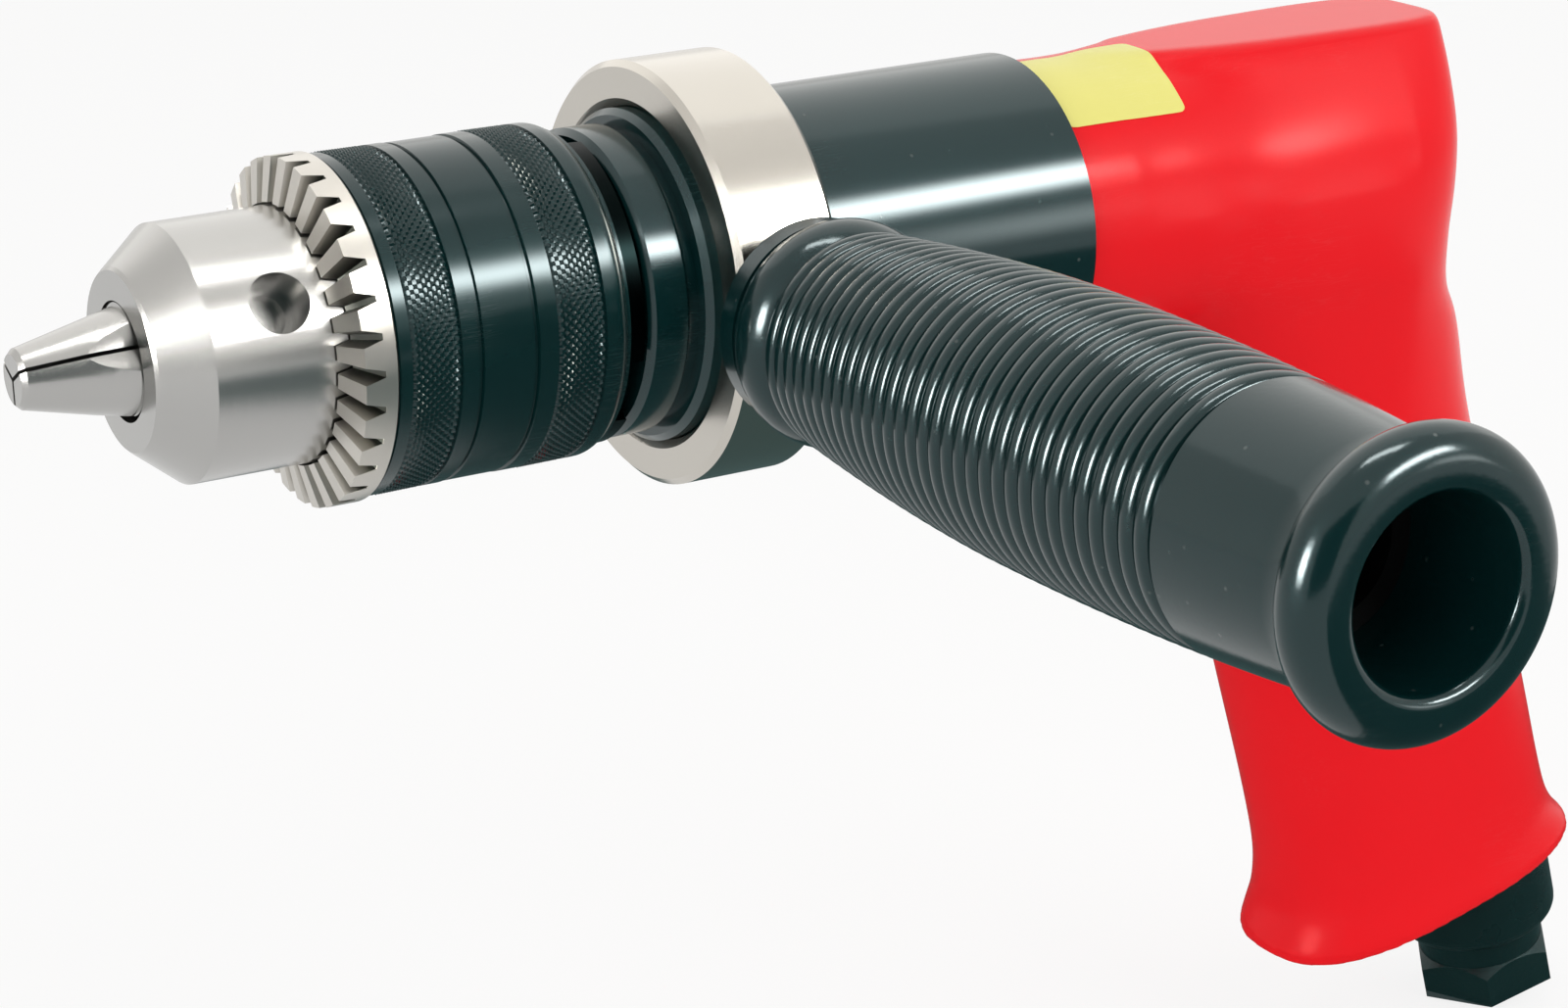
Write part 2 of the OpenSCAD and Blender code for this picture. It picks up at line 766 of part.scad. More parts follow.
// Slotted plate over the exhaust chamber, set into the foot of the grip
module exhaust_deflector() {
  slots = 3;
  slot_w = 2;
  slot_pitch = 3.6;
  slot_l = 2 * (exhaust_r - slot_w);
  color("black")
    in_grip()
      translate([deflector_v, 0, -grip_l])
        difference() {
          cylinder(r = deflector_r, h = deflector_t, $fn = round_fn);
          for (i = [0 : slots - 1])
            translate([(i - (slots - 1) / 2) * slot_pitch, 0, deflector_t / 2])
              cube([slot_w, slot_l, deflector_t + overrun], center = true);
          for (side = [-1, 1])
            translate([0, side * screw_y, 0]) {
              translate([0, 0, -overrun])
                cylinder(r = screw_r + slide_fit, h = deflector_t + 2 * overrun, $fn = small_fn);
              translate([0, 0, -overrun])
                cylinder(r = screw_head_r, h = screw_head_l + overrun, $fn = small_fn);
            }
        }
}
module muffler_felt() {
  felt_l = 26;
  color("linen")
    in_grip()
      translate([deflector_v, 0, deflector_t - grip_l])
        cylinder(r = exhaust_r - slide_fit, h = felt_l, $fn = small_fn);
}
module deflector_screws() {
  color("silver")
    in_grip()
      for (side = [-1, 1])
        translate([deflector_v, side * screw_y, -grip_l])
          rotate_extrude($fn = small_fn)
            polygon([[0, 0], [screw_head_r - slide_fit, 0], [screw_head_r - slide_fit, screw_head_l],
                     [screw_r, screw_head_l], [screw_r, screw_l - free_gap], [0, screw_l - free_gap]]);
}

// Slotted rotor with its two journals
module rotor() {
  color("lightgray")
    difference() {
      turned([
        [0, x_first + second_gap / 2],
        [pinion_shaft_r, x_first + second_gap / 2],
        [pinion_shaft_r, x_front_plate + free_gap],
        [motor_bearing_bore_r - running_fit, x_front_plate + free_gap],
        [motor_bearing_bore_r - running_fit, x_cylinder - end_gap],
        [rotor_r, x_cylinder - end_gap],
        [rotor_r, x_rear_plate + end_gap],
        [motor_bearing_bore_r - running_fit, x_rear_plate + end_gap],
        [motor_bearing_bore_r - running_fit, x_motor_end + free_gap],
        [0, x_motor_end + free_gap]
      ]);
      for (i = [0 : vane_count - 1])
        rotate([i * 360 / vane_count, 0, 0])
          translate([x_cylinder - cylinder_l / 2, rotor_r - vane_depth / 2 + overrun / 2, 0])
            cube([cylinder_l + overrun, vane_depth + overrun, vane_t + 2 * seat_fit], center = true);
    }
}

// Vanes, drawn home in their slots
module rotor_vanes() {
  color("peru")
    intersection() {
      for (i = [0 : vane_count - 1])
        rotate([i * 360 / vane_count, 0, 0])
          translate([x_cylinder - cylinder_l / 2, rotor_r - vane_depth / 2 + seat_fit, 0])
            cube([cylinder_l - 2 * end_gap, vane_depth, vane_t], center = true);
      rod(rotor_r, x_cylinder, x_rear_plate);
    }
}

// Sun gear of the first stage, pressed on the rotor's nose
module rotor_pinion() {
  color("gray")
    along_x(x_first + second_gap / 2, x_front_plate + free_gap)
      difference() {
        gear_outline(sun_teeth, 0);
        circle(r = pinion_shaft_r + seat_fit, $fn = small_fn);
      }
}

// First-stage carrier with the second sun gear cut on its front
module first_carrier() {
  color("darkgray") {
    difference() {
      rod(carrier_plate_r, x_first_carrier, x_first_carrier - first_carrier_t);
      carrier_holes(x_first_carrier + overrun, x_first_carrier - first_carrier_t - overrun);
    }
    along_x(x_second + second_gap / 2, x_first_carrier)
      gear_outline(sun_teeth, 0);
  }
}
module carrier_holes(x_from, x_to) {
  for (i = [0 : 2])
    rotate([i * planet_step, 0, 0])
      translate([0, carrier_r, 0])
        rod(pin_r + seat_fit, x_from, x_to);
}
module pin_set(x_from, x_to) {
  for (i = [0 : 2])
    rotate([i * planet_step, 0, 0])
      translate([0, carrier_r, 0])
        rod(pin_r, x_from, x_to);
}
module first_planet_pins() {
  color("silver")
    pin_set(x_first_carrier - free_gap, x_first_rear - pin_end);
}

// One planet gear; the stage gives its stations
module planet(index, x_from, x_to) {
  color("gray")
    rotate([index * planet_step, 0, 0])
      translate([0, carrier_r, 0])
        along_x(x_from, x_to)
          difference() {
            gear_outline(planet_teeth, 180 / planet_teeth);
            circle(r = pin_r + running_fit, $fn = small_fn);
          }
}
module first_planet(index) {
  planet(index, x_first, x_first_rear);
}
module second_planet(index) {
  planet(index, x_second, x_second_rear);
}

// Output spindle with the second carrier: chuck thread, collar, bearing journal and plate
module output_spindle() {
  screw_hole_r = 3;
  screw_hole_l = 13;
  collar_r_out = seal_bore_r - running_fit;
  journal_r = front_bearing_bore / 2 - running_fit;
  color("lightgray")
    difference() {
      turned([
        [screw_hole_r, x_thread],
        [thread_r, x_thread],
        [thread_r, x_chuck_rear],
        [collar_r_out, x_chuck_rear],
        [collar_r_out, x_bearing + free_gap / 2],
        [journal_r, x_bearing + free_gap / 2],
        [journal_r, x_carrier],
        [carrier_plate_r, x_carrier],
        [carrier_plate_r, x_carrier - carrier_t],
        [0, x_carrier - carrier_t],
        [0, x_thread - screw_hole_l],
        [screw_hole_r, x_thread - screw_hole_l]
      ]);
      carrier_holes(x_carrier - carrier_t / 4, x_carrier - carrier_t - overrun);
    }
}
module second_planet_pins() {
  color("silver")
    pin_set(x_carrier - carrier_t / 4 - free_gap, x_second_rear - pin_end);
}

// Bright chuck body with three slanted jaw bores and three key pilot holes
module chuck_body() {
  color("whitesmoke")
    difference() {
      turned([
        [mouth_r, 0],
        [nose_r - edge_chamfer / 2, 0],
        [nose_r, -edge_chamfer / 2],
        [chuck_r, -nose_cone_l],
        [chuck_r, x_sleeve + free_gap],
        [neck_r, x_sleeve + free_gap],
        [neck_r, x_nut_rear - free_gap],
        [flange_r, x_nut_rear - free_gap],
        [flange_r, x_chuck_rear],
        [thread_r + seat_fit, x_chuck_rear],
        [thread_r + seat_fit, x_thread],
        [shank_bore_r, x_thread + edge_chamfer],
        [shank_bore_r, -mouth_r],
        [mouth_r, -nose_cone_l]
      ]);
      for (i = [0 : 2])
        rotate([jaw_clock + i * jaw_step, 0, 0])
          jaw_rod(jaw_r + slide_fit);
      for (i = [0 : 2])
        rotate([key_clock + i * jaw_step, 0, 0])
          key_hole();
    }
}
module key_hole() {
  translate([-key_hole_setback, key_hole_floor, 0])
    rotate([-90, 0, 0])
      cylinder(r = key_hole_d / 2, h = chuck_r, $fn = small_fn);
  translate([-key_hole_setback, key_step_floor, 0])
    rotate([-90, 0, 0])
      cylinder(r = key_step_r, h = chuck_r, $fn = small_fn);
}
// The slanted cylinder of a jaw, drawn towards +Y
module jaw_rod(r) {
  translate([0, jaw_axis_r, 0])
    rotate([0, 0, -jaw_slant])
      rotate([0, 90, 0])
        cylinder(r = r, h = 4 * sleeve_l, center = true, $fn = round_fn);
}

// Left-hand screw that locks the chuck to the spindle
module chuck_screw() {
  head_r = 4.4;
  head_l = 4;
  shank_r = 2.95;
  shank_l = 12;
  socket_r = 2.3;
  socket_l = 2.5;
  color("dimgray")
    difference() {
      turned([
        [0, x_thread + head_l],
        [head_r, x_thread + head_l],
        [head_r, x_thread],
        [shank_r, x_thread],
        [shank_r, x_thread - shank_l],
        [0, x_thread - shank_l]
      ]);
      translate([x_thread + head_l - socket_l, 0, 0])
        rotate([0, 90, 0])
          cylinder(r = socket_r, h = socket_l + overrun, $fn = 6);
    }
}

// Knurled sleeve: two raised bands with a plain band between two grooves
module chuck_sleeve() {
  front_band_share = 0.35;
  rear_band_share = 0.41;
  band_drop = 0.2;
  groove = 0.6;
  rear_round = 2;
  rear_r = sleeve_r - free_gap;
  x_band = x_sleeve - front_band_share * sleeve_l;
  x_band_rear = x_sleeve_rear + rear_band_share * sleeve_l;
  color("black")
    turned(concat(
      [[nut_seat_r, x_sleeve],
       [sleeve_r, x_sleeve],
       [sleeve_r, x_band + groove],
       [sleeve_r - 2 * band_drop, x_band],
       [sleeve_r - band_drop, x_band - groove],
       [sleeve_r - band_drop, x_band_rear + groove],
       [sleeve_r - 2 * band_drop, x_band_rear],
       [sleeve_r - band_drop / 2, x_band_rear - groove]],
      arc([rear_r - rear_round, x_sleeve_rear + rear_round], rear_round, 0, -60),
      [[sleeve_bore_r, x_sleeve_rear],
       [sleeve_bore_r, x_nut_rear],
       [nut_seat_r, x_nut_rear]]
    ));
}

// Nickel ring with bevel teeth for the chuck key
module tooth_ring() {
  inner_r = chuck_r + free_gap;
  x_corner = x_teeth - crown_drop;
  color("gainsboro")
    difference() {
      turned([[inner_r, x_teeth], [rim_r, x_corner], [rim_r, x_sleeve + free_gap], [sleeve_r, x_sleeve],
              [inner_r, x_sleeve]]);
      for (i = [0 : tooth_count - 1])
        rotate([tooth_clock + i * 360 / tooth_count, 0, 0])
          tooth_gap(inner_r - overrun, rim_r + overrun);
    }
}
// One gap between bevel teeth, with slanting sides and a narrow floor; it grows wider and deeper outwards
module tooth_gap(r_in, r_out) {
  depth_share = 0.12;
  mouth_share = 0.057;
  floor_share = 0.018;
  slope = crown_drop / (rim_r - chuck_r - free_gap);
  x_in = x_teeth - (r_in - chuck_r - free_gap) * slope;
  x_out = x_teeth - (r_out - chuck_r - free_gap) * slope;
  lift = overrun / 2;
  floor_in = x_in - r_in * depth_share;
  floor_out = x_out - r_out * depth_share;
  polyhedron(
    points = [
      [x_in + lift, r_in, -r_in * mouth_share],
      [x_in + lift, r_in, r_in * mouth_share],
      [floor_in, r_in, r_in * floor_share],
      [floor_in, r_in, -r_in * floor_share],
      [x_out + lift, r_out, -r_out * mouth_share],
      [x_out + lift, r_out, r_out * mouth_share],
      [floor_out, r_out, r_out * floor_share],
      [floor_out, r_out, -r_out * floor_share]
    ],
    faces = [
      [2, 1, 0, 3], [4, 5, 6, 7],
      [5, 4, 0], [1, 5, 0],
      [7, 3, 0], [4, 7, 0],
      [6, 5, 1], [2, 6, 1],
      [3, 7, 6], [3, 6, 2]
    ]
  );
}

// Split nut inside the sleeve; its cone follows the outer line of the jaws
module jaw_nut() {
  split = 0.4;
  color("darkgray")
    difference() {
      turned([
        [jaw_outer(x_nut) + free_gap / 2, x_nut],
        [nut_seat_r - seat_fit, x_nut],
        [nut_seat_r - seat_fit, x_nut_rear],
        [jaw_outer(x_nut_rear) + free_gap / 2, x_nut_rear]
      ]);
      translate([x_nut - nut_l / 2, 0, 0])
        cube([nut_l + 2 * overrun, split, sleeve_d], center = true);
    }
}

// One jaw: slanted rod cut to a third of the mouth, ground to a cone and relieved behind
module jaw(index) {
  slit_apex = jaw_slit / 2 / sin(60);
  relief_r = flange_r - slide_fit;
  color("silver")
    rotate([jaw_clock + index * jaw_step, 0, 0])
      intersection() {
        jaw_rod(jaw_r);
        along_x(jaw_reach, -jaw_tail)
          polygon([[slit_apex, 0], [slit_apex + sleeve_d * cos(60), sleeve_d * sin(60)],
                   [slit_apex + sleeve_d * cos(60), -sleeve_d * sin(60)]]);
        turned([[0, jaw_reach], [jaw_tip_r - tip_edge, jaw_reach], [jaw_tip_r, jaw_reach - tip_edge],
                [jaw_nose_r, 0], [sleeve_r, -overrun], [sleeve_r, -jaw_tail], [0, -jaw_tail]]);
        translate([0, -capacity / 2, 0])
          rod(relief_r, jaw_reach + overrun, -jaw_tail - overrun);
      }
}

// Nickel clamp ring with the boss that the side handle screws into
module handle_ring() {
  mouth_chamfer = 1;
  bore_r = barrel_r + 2 * running_fit;
  color("gainsboro")
    difference() {
      union() {
        turned([
          [bore_r + mouth_chamfer, x_ring],
          [ring_r - edge_chamfer, x_ring],
          [ring_r, x_ring - edge_chamfer],
          [ring_r, x_ring_rear + edge_chamfer],
          [ring_r - edge_chamfer, x_ring_rear],
          [bore_r + mouth_chamfer, x_ring_rear],
          [bore_r, x_ring_rear + mouth_chamfer],
          [bore_r, x_ring - mouth_chamfer]
        ]);
        translate([x_handle, (barrel_r + ring_r) / 2, 0])
          rotate([-90, 0, 0])
            cylinder(r = boss_r, h = boss_top - (barrel_r + ring_r) / 2, $fn = small_fn);
      }
      translate([x_handle, 0, 0])
        rotate([-90, 0, 0])
          cylinder(r = stud_r + running_fit, h = boss_top + overrun, $fn = small_fn);
    }
}

// Stud that ties the handle to its ring and locks the ring on the barrel
module handle_stud() {
  color("gray")
    translate([x_handle, stud_tip, 0])
      rotate([-90, 0, 0])
        cylinder(r = stud_r, h = stud_end - stud_tip, $fn = small_fn);
}

// Core tube of the handle, solid where the stud goes in
module handle_core() {
  core_r = handle_bore_r - seat_fit;
  core_end = handle_reach - core_end_setback;
  color("dimgray")
    translate([x_handle, 0, 0])
      turned_y([
        [stud_r + seat_fit, handle_face],
        [core_r, handle_face],
        [core_r, core_end],
        [core_r - core_wall, core_end],
        [core_r - core_wall, core_plug],
        [0, core_plug],
        [0, stud_end],
        [stud_r + seat_fit, stud_end]
      ]);
}

// Rubber grip: inner plate with a rolled lip, a row of ribs, a plain neck and a rolled end flange
function grip_r(y) =
  let (inner_share = max(0, belly_y - y) / (belly_y - rib_start))
  let (outer_share = max(0, y - belly_y) / (handle_reach - 2 * flange_round - belly_y))
  handle_d / 2 - inner_thin * pow(inner_share, inner_power) - outer_thin * pow(outer_share, outer_power);
function rib_points() =
  let (pitch = (rib_stop - rib_start) / rib_count)
  let (side = pitch * (1 - rib_crest_share) / 2)
  [
    for (i = [0 : rib_count - 1])
      let (y = rib_start + i * pitch)
      let (crest = grip_r(y + pitch / 2))
      each [
        [crest - rib_depth, y],
        [crest - rib_depth * rib_foot_share, y + side * rib_side_share],
        [crest, y + side],
        [crest, y + pitch - side],
        [crest - rib_depth * rib_foot_share, y + pitch - side * rib_side_share]
      ]
  ];
module handle_grip() {
  lip_half_l = (lip_l - lip_plate_l) / 2;
  lip_round = lip_half_l / sin(lip_spread);
  neck_end = handle_reach - 2 * flange_round - neck_round;
  neck_start = rib_stop + rib_depth;
  color("black")
    translate([x_handle, 0, 0])
      turned_y(concat(
        [[handle_bore_r, handle_face],
         [lip_plate_r, handle_face],
         [lip_plate_r, handle_face + lip_plate_l]],
        arc([lip_r - lip_round, handle_face + lip_l - lip_half_l], lip_round, -lip_spread, lip_spread, 8),
        rib_points(),
        [[grip_r(rib_stop) - rib_depth, rib_stop]],
        [for (i = [0 : neck_steps])
          let (y = neck_start + (neck_end - neck_start) * i / neck_steps)
          [grip_r(y), y]],
        arc([handle_flange_d / 2 - flange_round, handle_reach - flange_round], flange_round, -65, 80, 9),
        arc([handle_bore_r + bore_round, handle_reach - bore_round], bore_round, 90, 180, 4)
      ));
}

// Trigger button with a hollow for the finger
module trigger_button() {
  plan_r = button_w / 2;
  color("black")
    on_valve()
      difference() {
        intersection() {
          translate([button_rear, -button_w / 2, -button_h / 2])
            cube([button_l, button_w, button_h]);
          translate([button_rear + button_l - plan_r, 0, -button_h / 2])
            union() {
              cylinder(r = plan_r, h = button_h, $fn = small_fn);
              translate([-button_l, -plan_r, 0])
                cube([button_l, button_w, button_h]);
            }
          translate([button_rear - button_h / 2 + button_l, 0, 0])
            rotate([90, 0, 0])
              cylinder(r = button_h / 2 + button_hollow, h = button_w, center = true, $fn = round_fn);
        }
        translate([button_rear + button_l + button_hollow_r - button_hollow, 0, 0])
          rotate([90, 0, 0])
            cylinder(r = button_hollow_r, h = button_w + overrun, center = true, $fn = round_fn);
        rod(stem_r + seat_fit, button_rear - overrun, button_rear + button_socket);
      }
}

// Throttle stem with the poppet that closes on the valve seat
module throttle_stem() {
  color("silver")
    on_valve()
      turned([
        [0, button_rear + button_socket - free_gap],
        [stem_r, button_rear + button_socket - free_gap],
        [stem_r, poppet_front],
        [poppet_r, poppet_front],
        [poppet_r, poppet_front - poppet_t],
        [0, poppet_front - poppet_t]
      ]);
}

// Coil spring behind the poppet
module valve_spring() {
  wire_r = 0.5;
  coil_r = 3.4;
  turns = 6;
  rings_per_turn = 10;
  wire_sides = 6;
  rings = turns * rings_per_turn;
  start = poppet_front - poppet_t - wire_r - slide_fit;
  stop = -valve_end + wire_r + slide_fit;
  points = [
    for (k = [0 : rings])
      let (angle = k * 360 / rings_per_turn)
      let (x = start + (stop - start) * k / rings)
      for (j = [0 : wire_sides - 1])
        let (around = j * 360 / wire_sides)
        let (r = coil_r + wire_r * cos(around))
        [x + wire_r * sin(around), r * cos(angle), r * sin(angle)]
  ];
  first = [[for (j = [0 : wire_sides - 1]) j]];
  last = [[for (j = [0 : wire_sides - 1]) rings * wire_sides + wire_sides - 1 - j]];
  walls = [
    for (k = [0 : rings - 1])
      for (j = [0 : wire_sides - 1])
        let (n = (j + 1) % wire_sides)
        let (a = k * wire_sides)
        let (b = a + wire_sides)
        each [[a + j, b + n, a + n], [a + j, b + j, b + n]]
  ];
  color("silver")
    on_valve()
      polyhedron(points = points, faces = concat(first, walls, last), convexity = 10);
}

// Reverse lever: a collar on the throttle bushing with a thumb paddle at each side
module reverse_lever() {
  lever_rear = bushing_front - lever_t - free_gap;
  color("silver")
    on_valve()
      along_x(lever_rear, lever_rear + lever_t)
        difference() {
          union() {
            circle(r = bushing_r + lever_rim, $fn = round_fn);
            translate([-lever_reach, -lever_rim])
              square([2 * lever_reach, 2 * lever_rim]);
            for (side = [-1, 1])
              translate([side * lever_reach, 0])
                circle(r = lever_paddle_r, $fn = small_fn);
          }
          circle(r = bushing_r + running_fit, $fn = round_fn);
        }
}

motor_housing();
gear_case();
ring_gear();
front_bearing();
spindle_seal();
gear_spacer();
motor_front_plate();
motor_front_bearing();
motor_cylinder();
motor_rear_plate();
motor_rear_bearing();
throttle_bushing();
valve_seat();
inlet_bushing();
inlet_seal();
inlet_screen();
exhaust_deflector();
muffler_felt();
deflector_screws();
rotor();
rotor_vanes();
rotor_pinion();
first_carrier();
first_planet_pins();
first_planet(0);  // first_planet_1
first_planet(1);  // first_planet_2
first_planet(2);  // first_planet_3
output_spindle();
second_planet_pins();
second_planet(0);  // second_planet_1
second_planet(1);  // second_planet_2
second_planet(2);  // second_planet_3
chuck_body();
chuck_screw();
chuck_sleeve();
tooth_ring();
jaw_nut();
jaw(0);  // jaw_1
jaw(1);  // jaw_2
jaw(2);  // jaw_3
handle_ring();
handle_stud();
handle_core();
handle_grip();
trigger_button();
throttle_stem();
valve_spring();
reverse_lever();
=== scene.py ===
# %% [markdown]
# # A half-inch air drill, dressed for its portrait
# The solids of the drill come from the imported frame: every bearing, gear and screw is already in its place.
# This lesson gives them their finishes, and models again the few pieces whose charm is in the surface: the
# cast housing, the knurled sleeve and the ribbed rubber grip. A blank label and a copy of the valve spring
# come last. All lengths are in metres, in the frame of the solids.

# %% Load the frame
import json
import math

import bmesh
import bpy
from mathutils import Matrix, Vector
from mathutils.bvhtree import BVHTree


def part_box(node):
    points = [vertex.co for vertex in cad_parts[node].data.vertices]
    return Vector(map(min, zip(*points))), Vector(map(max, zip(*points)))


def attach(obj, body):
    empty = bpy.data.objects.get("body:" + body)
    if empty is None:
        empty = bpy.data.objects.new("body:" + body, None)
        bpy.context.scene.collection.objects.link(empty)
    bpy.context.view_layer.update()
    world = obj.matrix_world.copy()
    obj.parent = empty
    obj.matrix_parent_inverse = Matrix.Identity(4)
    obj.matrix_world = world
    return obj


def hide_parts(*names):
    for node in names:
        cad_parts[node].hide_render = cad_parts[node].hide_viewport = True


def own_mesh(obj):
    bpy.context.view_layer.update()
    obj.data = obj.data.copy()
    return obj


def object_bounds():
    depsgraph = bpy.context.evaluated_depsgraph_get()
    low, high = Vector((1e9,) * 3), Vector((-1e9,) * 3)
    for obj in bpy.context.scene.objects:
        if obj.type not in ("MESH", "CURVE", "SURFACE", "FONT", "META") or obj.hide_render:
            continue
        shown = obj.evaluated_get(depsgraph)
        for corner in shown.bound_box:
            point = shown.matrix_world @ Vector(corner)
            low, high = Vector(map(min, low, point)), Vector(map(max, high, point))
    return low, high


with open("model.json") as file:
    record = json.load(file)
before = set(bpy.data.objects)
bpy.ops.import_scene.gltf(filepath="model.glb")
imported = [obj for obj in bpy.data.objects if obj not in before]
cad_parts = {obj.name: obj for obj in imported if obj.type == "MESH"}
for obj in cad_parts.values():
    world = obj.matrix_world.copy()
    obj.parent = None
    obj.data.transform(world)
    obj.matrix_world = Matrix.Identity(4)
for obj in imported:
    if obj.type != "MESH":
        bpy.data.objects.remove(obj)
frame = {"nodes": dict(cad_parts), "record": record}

scene = bpy.context.scene
nodes = frame["nodes"]
cad_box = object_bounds()
MM = 0.001
print("nodes:", len(nodes), "box of the solids:", [round(v, 4) for corner in cad_box for v in corner])

# %% [markdown]
# ## The camera
# The photograph looks down on the drill from its front left, over the side handle. A long lens keeps the
# drill's proportions. A camera looks along its own -Z, so the three columns of its matrix are the
# directions of the picture's right, the picture's up and the way back to the photographer.

# %% Camera
camera_data = bpy.data.cameras.new("camera")
camera_data.lens = 88.5
camera_data.sensor_width = 36
camera_data.sensor_fit = "HORIZONTAL"
camera_data.clip_start = 0.01
camera_data.clip_end = 50
camera = bpy.data.objects.new("camera", camera_data)
scene.collection.objects.link(camera)
forward = Vector((-0.4760, -0.8203, -0.3171)).normalized()
right = Vector((-0.8613, 0.5076, -0.0204))
right = (right - forward * right.dot(forward)).normalized()
up = right.cross(forward)
eye = Vector((0.14841, 0.40724, 0.12368))
camera.matrix_world = Matrix((right, up, -forward)).transposed().to_4x4()
camera.location = eye
scene.camera = camera
print("camera at", [round(v, 4) for v in eye])

# %% [markdown]
# ## The studio
# A pale floor lies under the drill and runs past the edges of the picture, so it is also the background. To
# the camera and in reflections it shows some white of its own besides the light that falls on it, which
# keeps the shadow soft. The world is white to the camera and in reflections, and dimmer as a lamp.

# %% Floor
FLOOR_HALF, FLOOR_Z = 4.0, cad_box[0].z - 0.3 * MM
FLOOR_GREY, FLOOR_OWN_WHITE = 0.92, 0.84
floor_mesh = bpy.data.meshes.new("floor")
shape = bmesh.new()
bmesh.ops.create_grid(shape, x_segments=8, y_segments=8, size=FLOOR_HALF)
bmesh.ops.translate(shape, verts=shape.verts, vec=(0, 0, FLOOR_Z))
shape.to_mesh(floor_mesh)
shape.free()
floor = bpy.data.objects.new("floor", floor_mesh)
scene.collection.objects.link(floor)


def blank_material(name):
    """A material whose tree holds only its output node: returns the material, its tree and that node."""
    material = bpy.data.materials.new(name)
    material.use_nodes = True
    tree = material.node_tree
    tree.nodes.clear()
    return material, tree, tree.nodes.new("ShaderNodeOutputMaterial")


def looked_at(tree):
    """1 for a ray from the camera, a mirror or glass, and 0 for light that only falls on things."""
    path = tree.nodes.new("ShaderNodeLightPath")
    seen = path.outputs["Is Camera Ray"]
    for kind in ("Is Glossy Ray", "Is Transmission Ray"):
        either = tree.nodes.new("ShaderNodeMath")
        either.operation = "MAXIMUM"
        tree.links.new(seen, either.inputs[0])
        tree.links.new(path.outputs[kind], either.inputs[1])
        seen = either.outputs[0]
    return seen


floor_material, tree, output = blank_material("studio_floor")
lit = tree.nodes.new("ShaderNodeBsdfDiffuse")
lit.inputs["Color"].default_value = (FLOOR_GREY, FLOOR_GREY, FLOOR_GREY, 1)
glow = tree.nodes.new("ShaderNodeEmission")
glow.inputs["Color"].default_value = (1, 1, 1, 1)
share = tree.nodes.new("ShaderNodeMath")
share.operation = "MULTIPLY"
share.inputs[1].default_value = FLOOR_OWN_WHITE
blend = tree.nodes.new("ShaderNodeMixShader")
tree.links.new(looked_at(tree), share.inputs[0])
tree.links.new(share.outputs[0], blend.inputs[0])
tree.links.new(lit.outputs[0], blend.inputs[1])
tree.links.new(glow.outputs[0], blend.inputs[2])
tree.links.new(blend.outputs[0], output.inputs["Surface"])
floor_mesh.materials.append(floor_material)
print("floor at z", round(FLOOR_Z, 4))

# %% World
WARM, COLD = (1, 0.985, 0.96), (0.6, 1.0, 1.0)
WORLD_AS_LAMP, WORLD_SEEN = 0.5, 1.0
world = bpy.data.worlds.new("studio")
scene.world = world
world.use_nodes = True
tree = world.node_tree
tree.nodes.clear()
output = tree.nodes.new("ShaderNodeOutputWorld")
sky = tree.nodes.new("ShaderNodeBackground")
sky.inputs["Color"].default_value = (*WARM, 1)
level = tree.nodes.new("ShaderNodeMapRange")
level.inputs["To Min"].default_value = WORLD_AS_LAMP
level.inputs["To Max"].default_value = WORLD_SEEN
tree.links.new(looked_at(tree), level.inputs["Value"])
tree.links.new(level.outputs[0], sky.inputs["Strength"])
tree.links.new(sky.outputs[0], output.inputs["Surface"])
scene.view_settings.view_transform = "Standard"
print("world set")

# %% [markdown]
# ## Lamps and cards
# Four lamps light the drill at a plain level, and mirrors don't see them. Gloss lives from what it mirrors,
# so cards stand round the drill that only reflections see. A soft box over the camera's right shoulder
# draws the line along every cylinder, and a weaker one below it softens the line's lower side. One overhead
# and one in front of the chuck give each rib its two sparks. A pale ceiling behind lifts the tops. Two dark
# cards draw the black parts: one lies on the floor for the drill's own shadow, which the floor's white
# hides from mirrors, and one stands behind the camera for the unlit end of the room.

# %% Lamps
AIM = Vector((-0.09, 0.02, -0.02))


def strip_lamp(name, direction, distance, length, height, watts, colour):
    """A rectangular lamp that faces AIM, with its long side level."""
    data = bpy.data.lights.new(name, "AREA")
    data.shape = "RECTANGLE"
    data.size = length
    data.size_y = height
    data.energy = watts
    data.color = colour
    lamp = bpy.data.objects.new(name, data)
    scene.collection.objects.link(lamp)
    away = Vector(direction).normalized()
    lamp.location = AIM + away * distance
    lamp.rotation_euler = away.to_track_quat("Z", "Y").to_euler()
    lamp.visible_glossy = False


FILL_WHITE, TOP_WHITE = (1, 0.99, 0.97), (1, 0.98, 0.95)
strip_lamp("key", (-0.476, 0.633, 0.608), 1.2, 1.2, 0.5, 6.4, WARM)
strip_lamp("front_fill", (0.8, 0.6, 0.3), 1.6, 0.9, 0.9, 7.0, FILL_WHITE)
strip_lamp("side_fill", (0.93, -0.33, 0.12), 1.4, 0.6, 0.6, 2.5, FILL_WHITE)
strip_lamp("top_soft", (-0.1, -0.35, 1.0), 1.5, 1.6, 1.2, 4.0, TOP_WHITE)


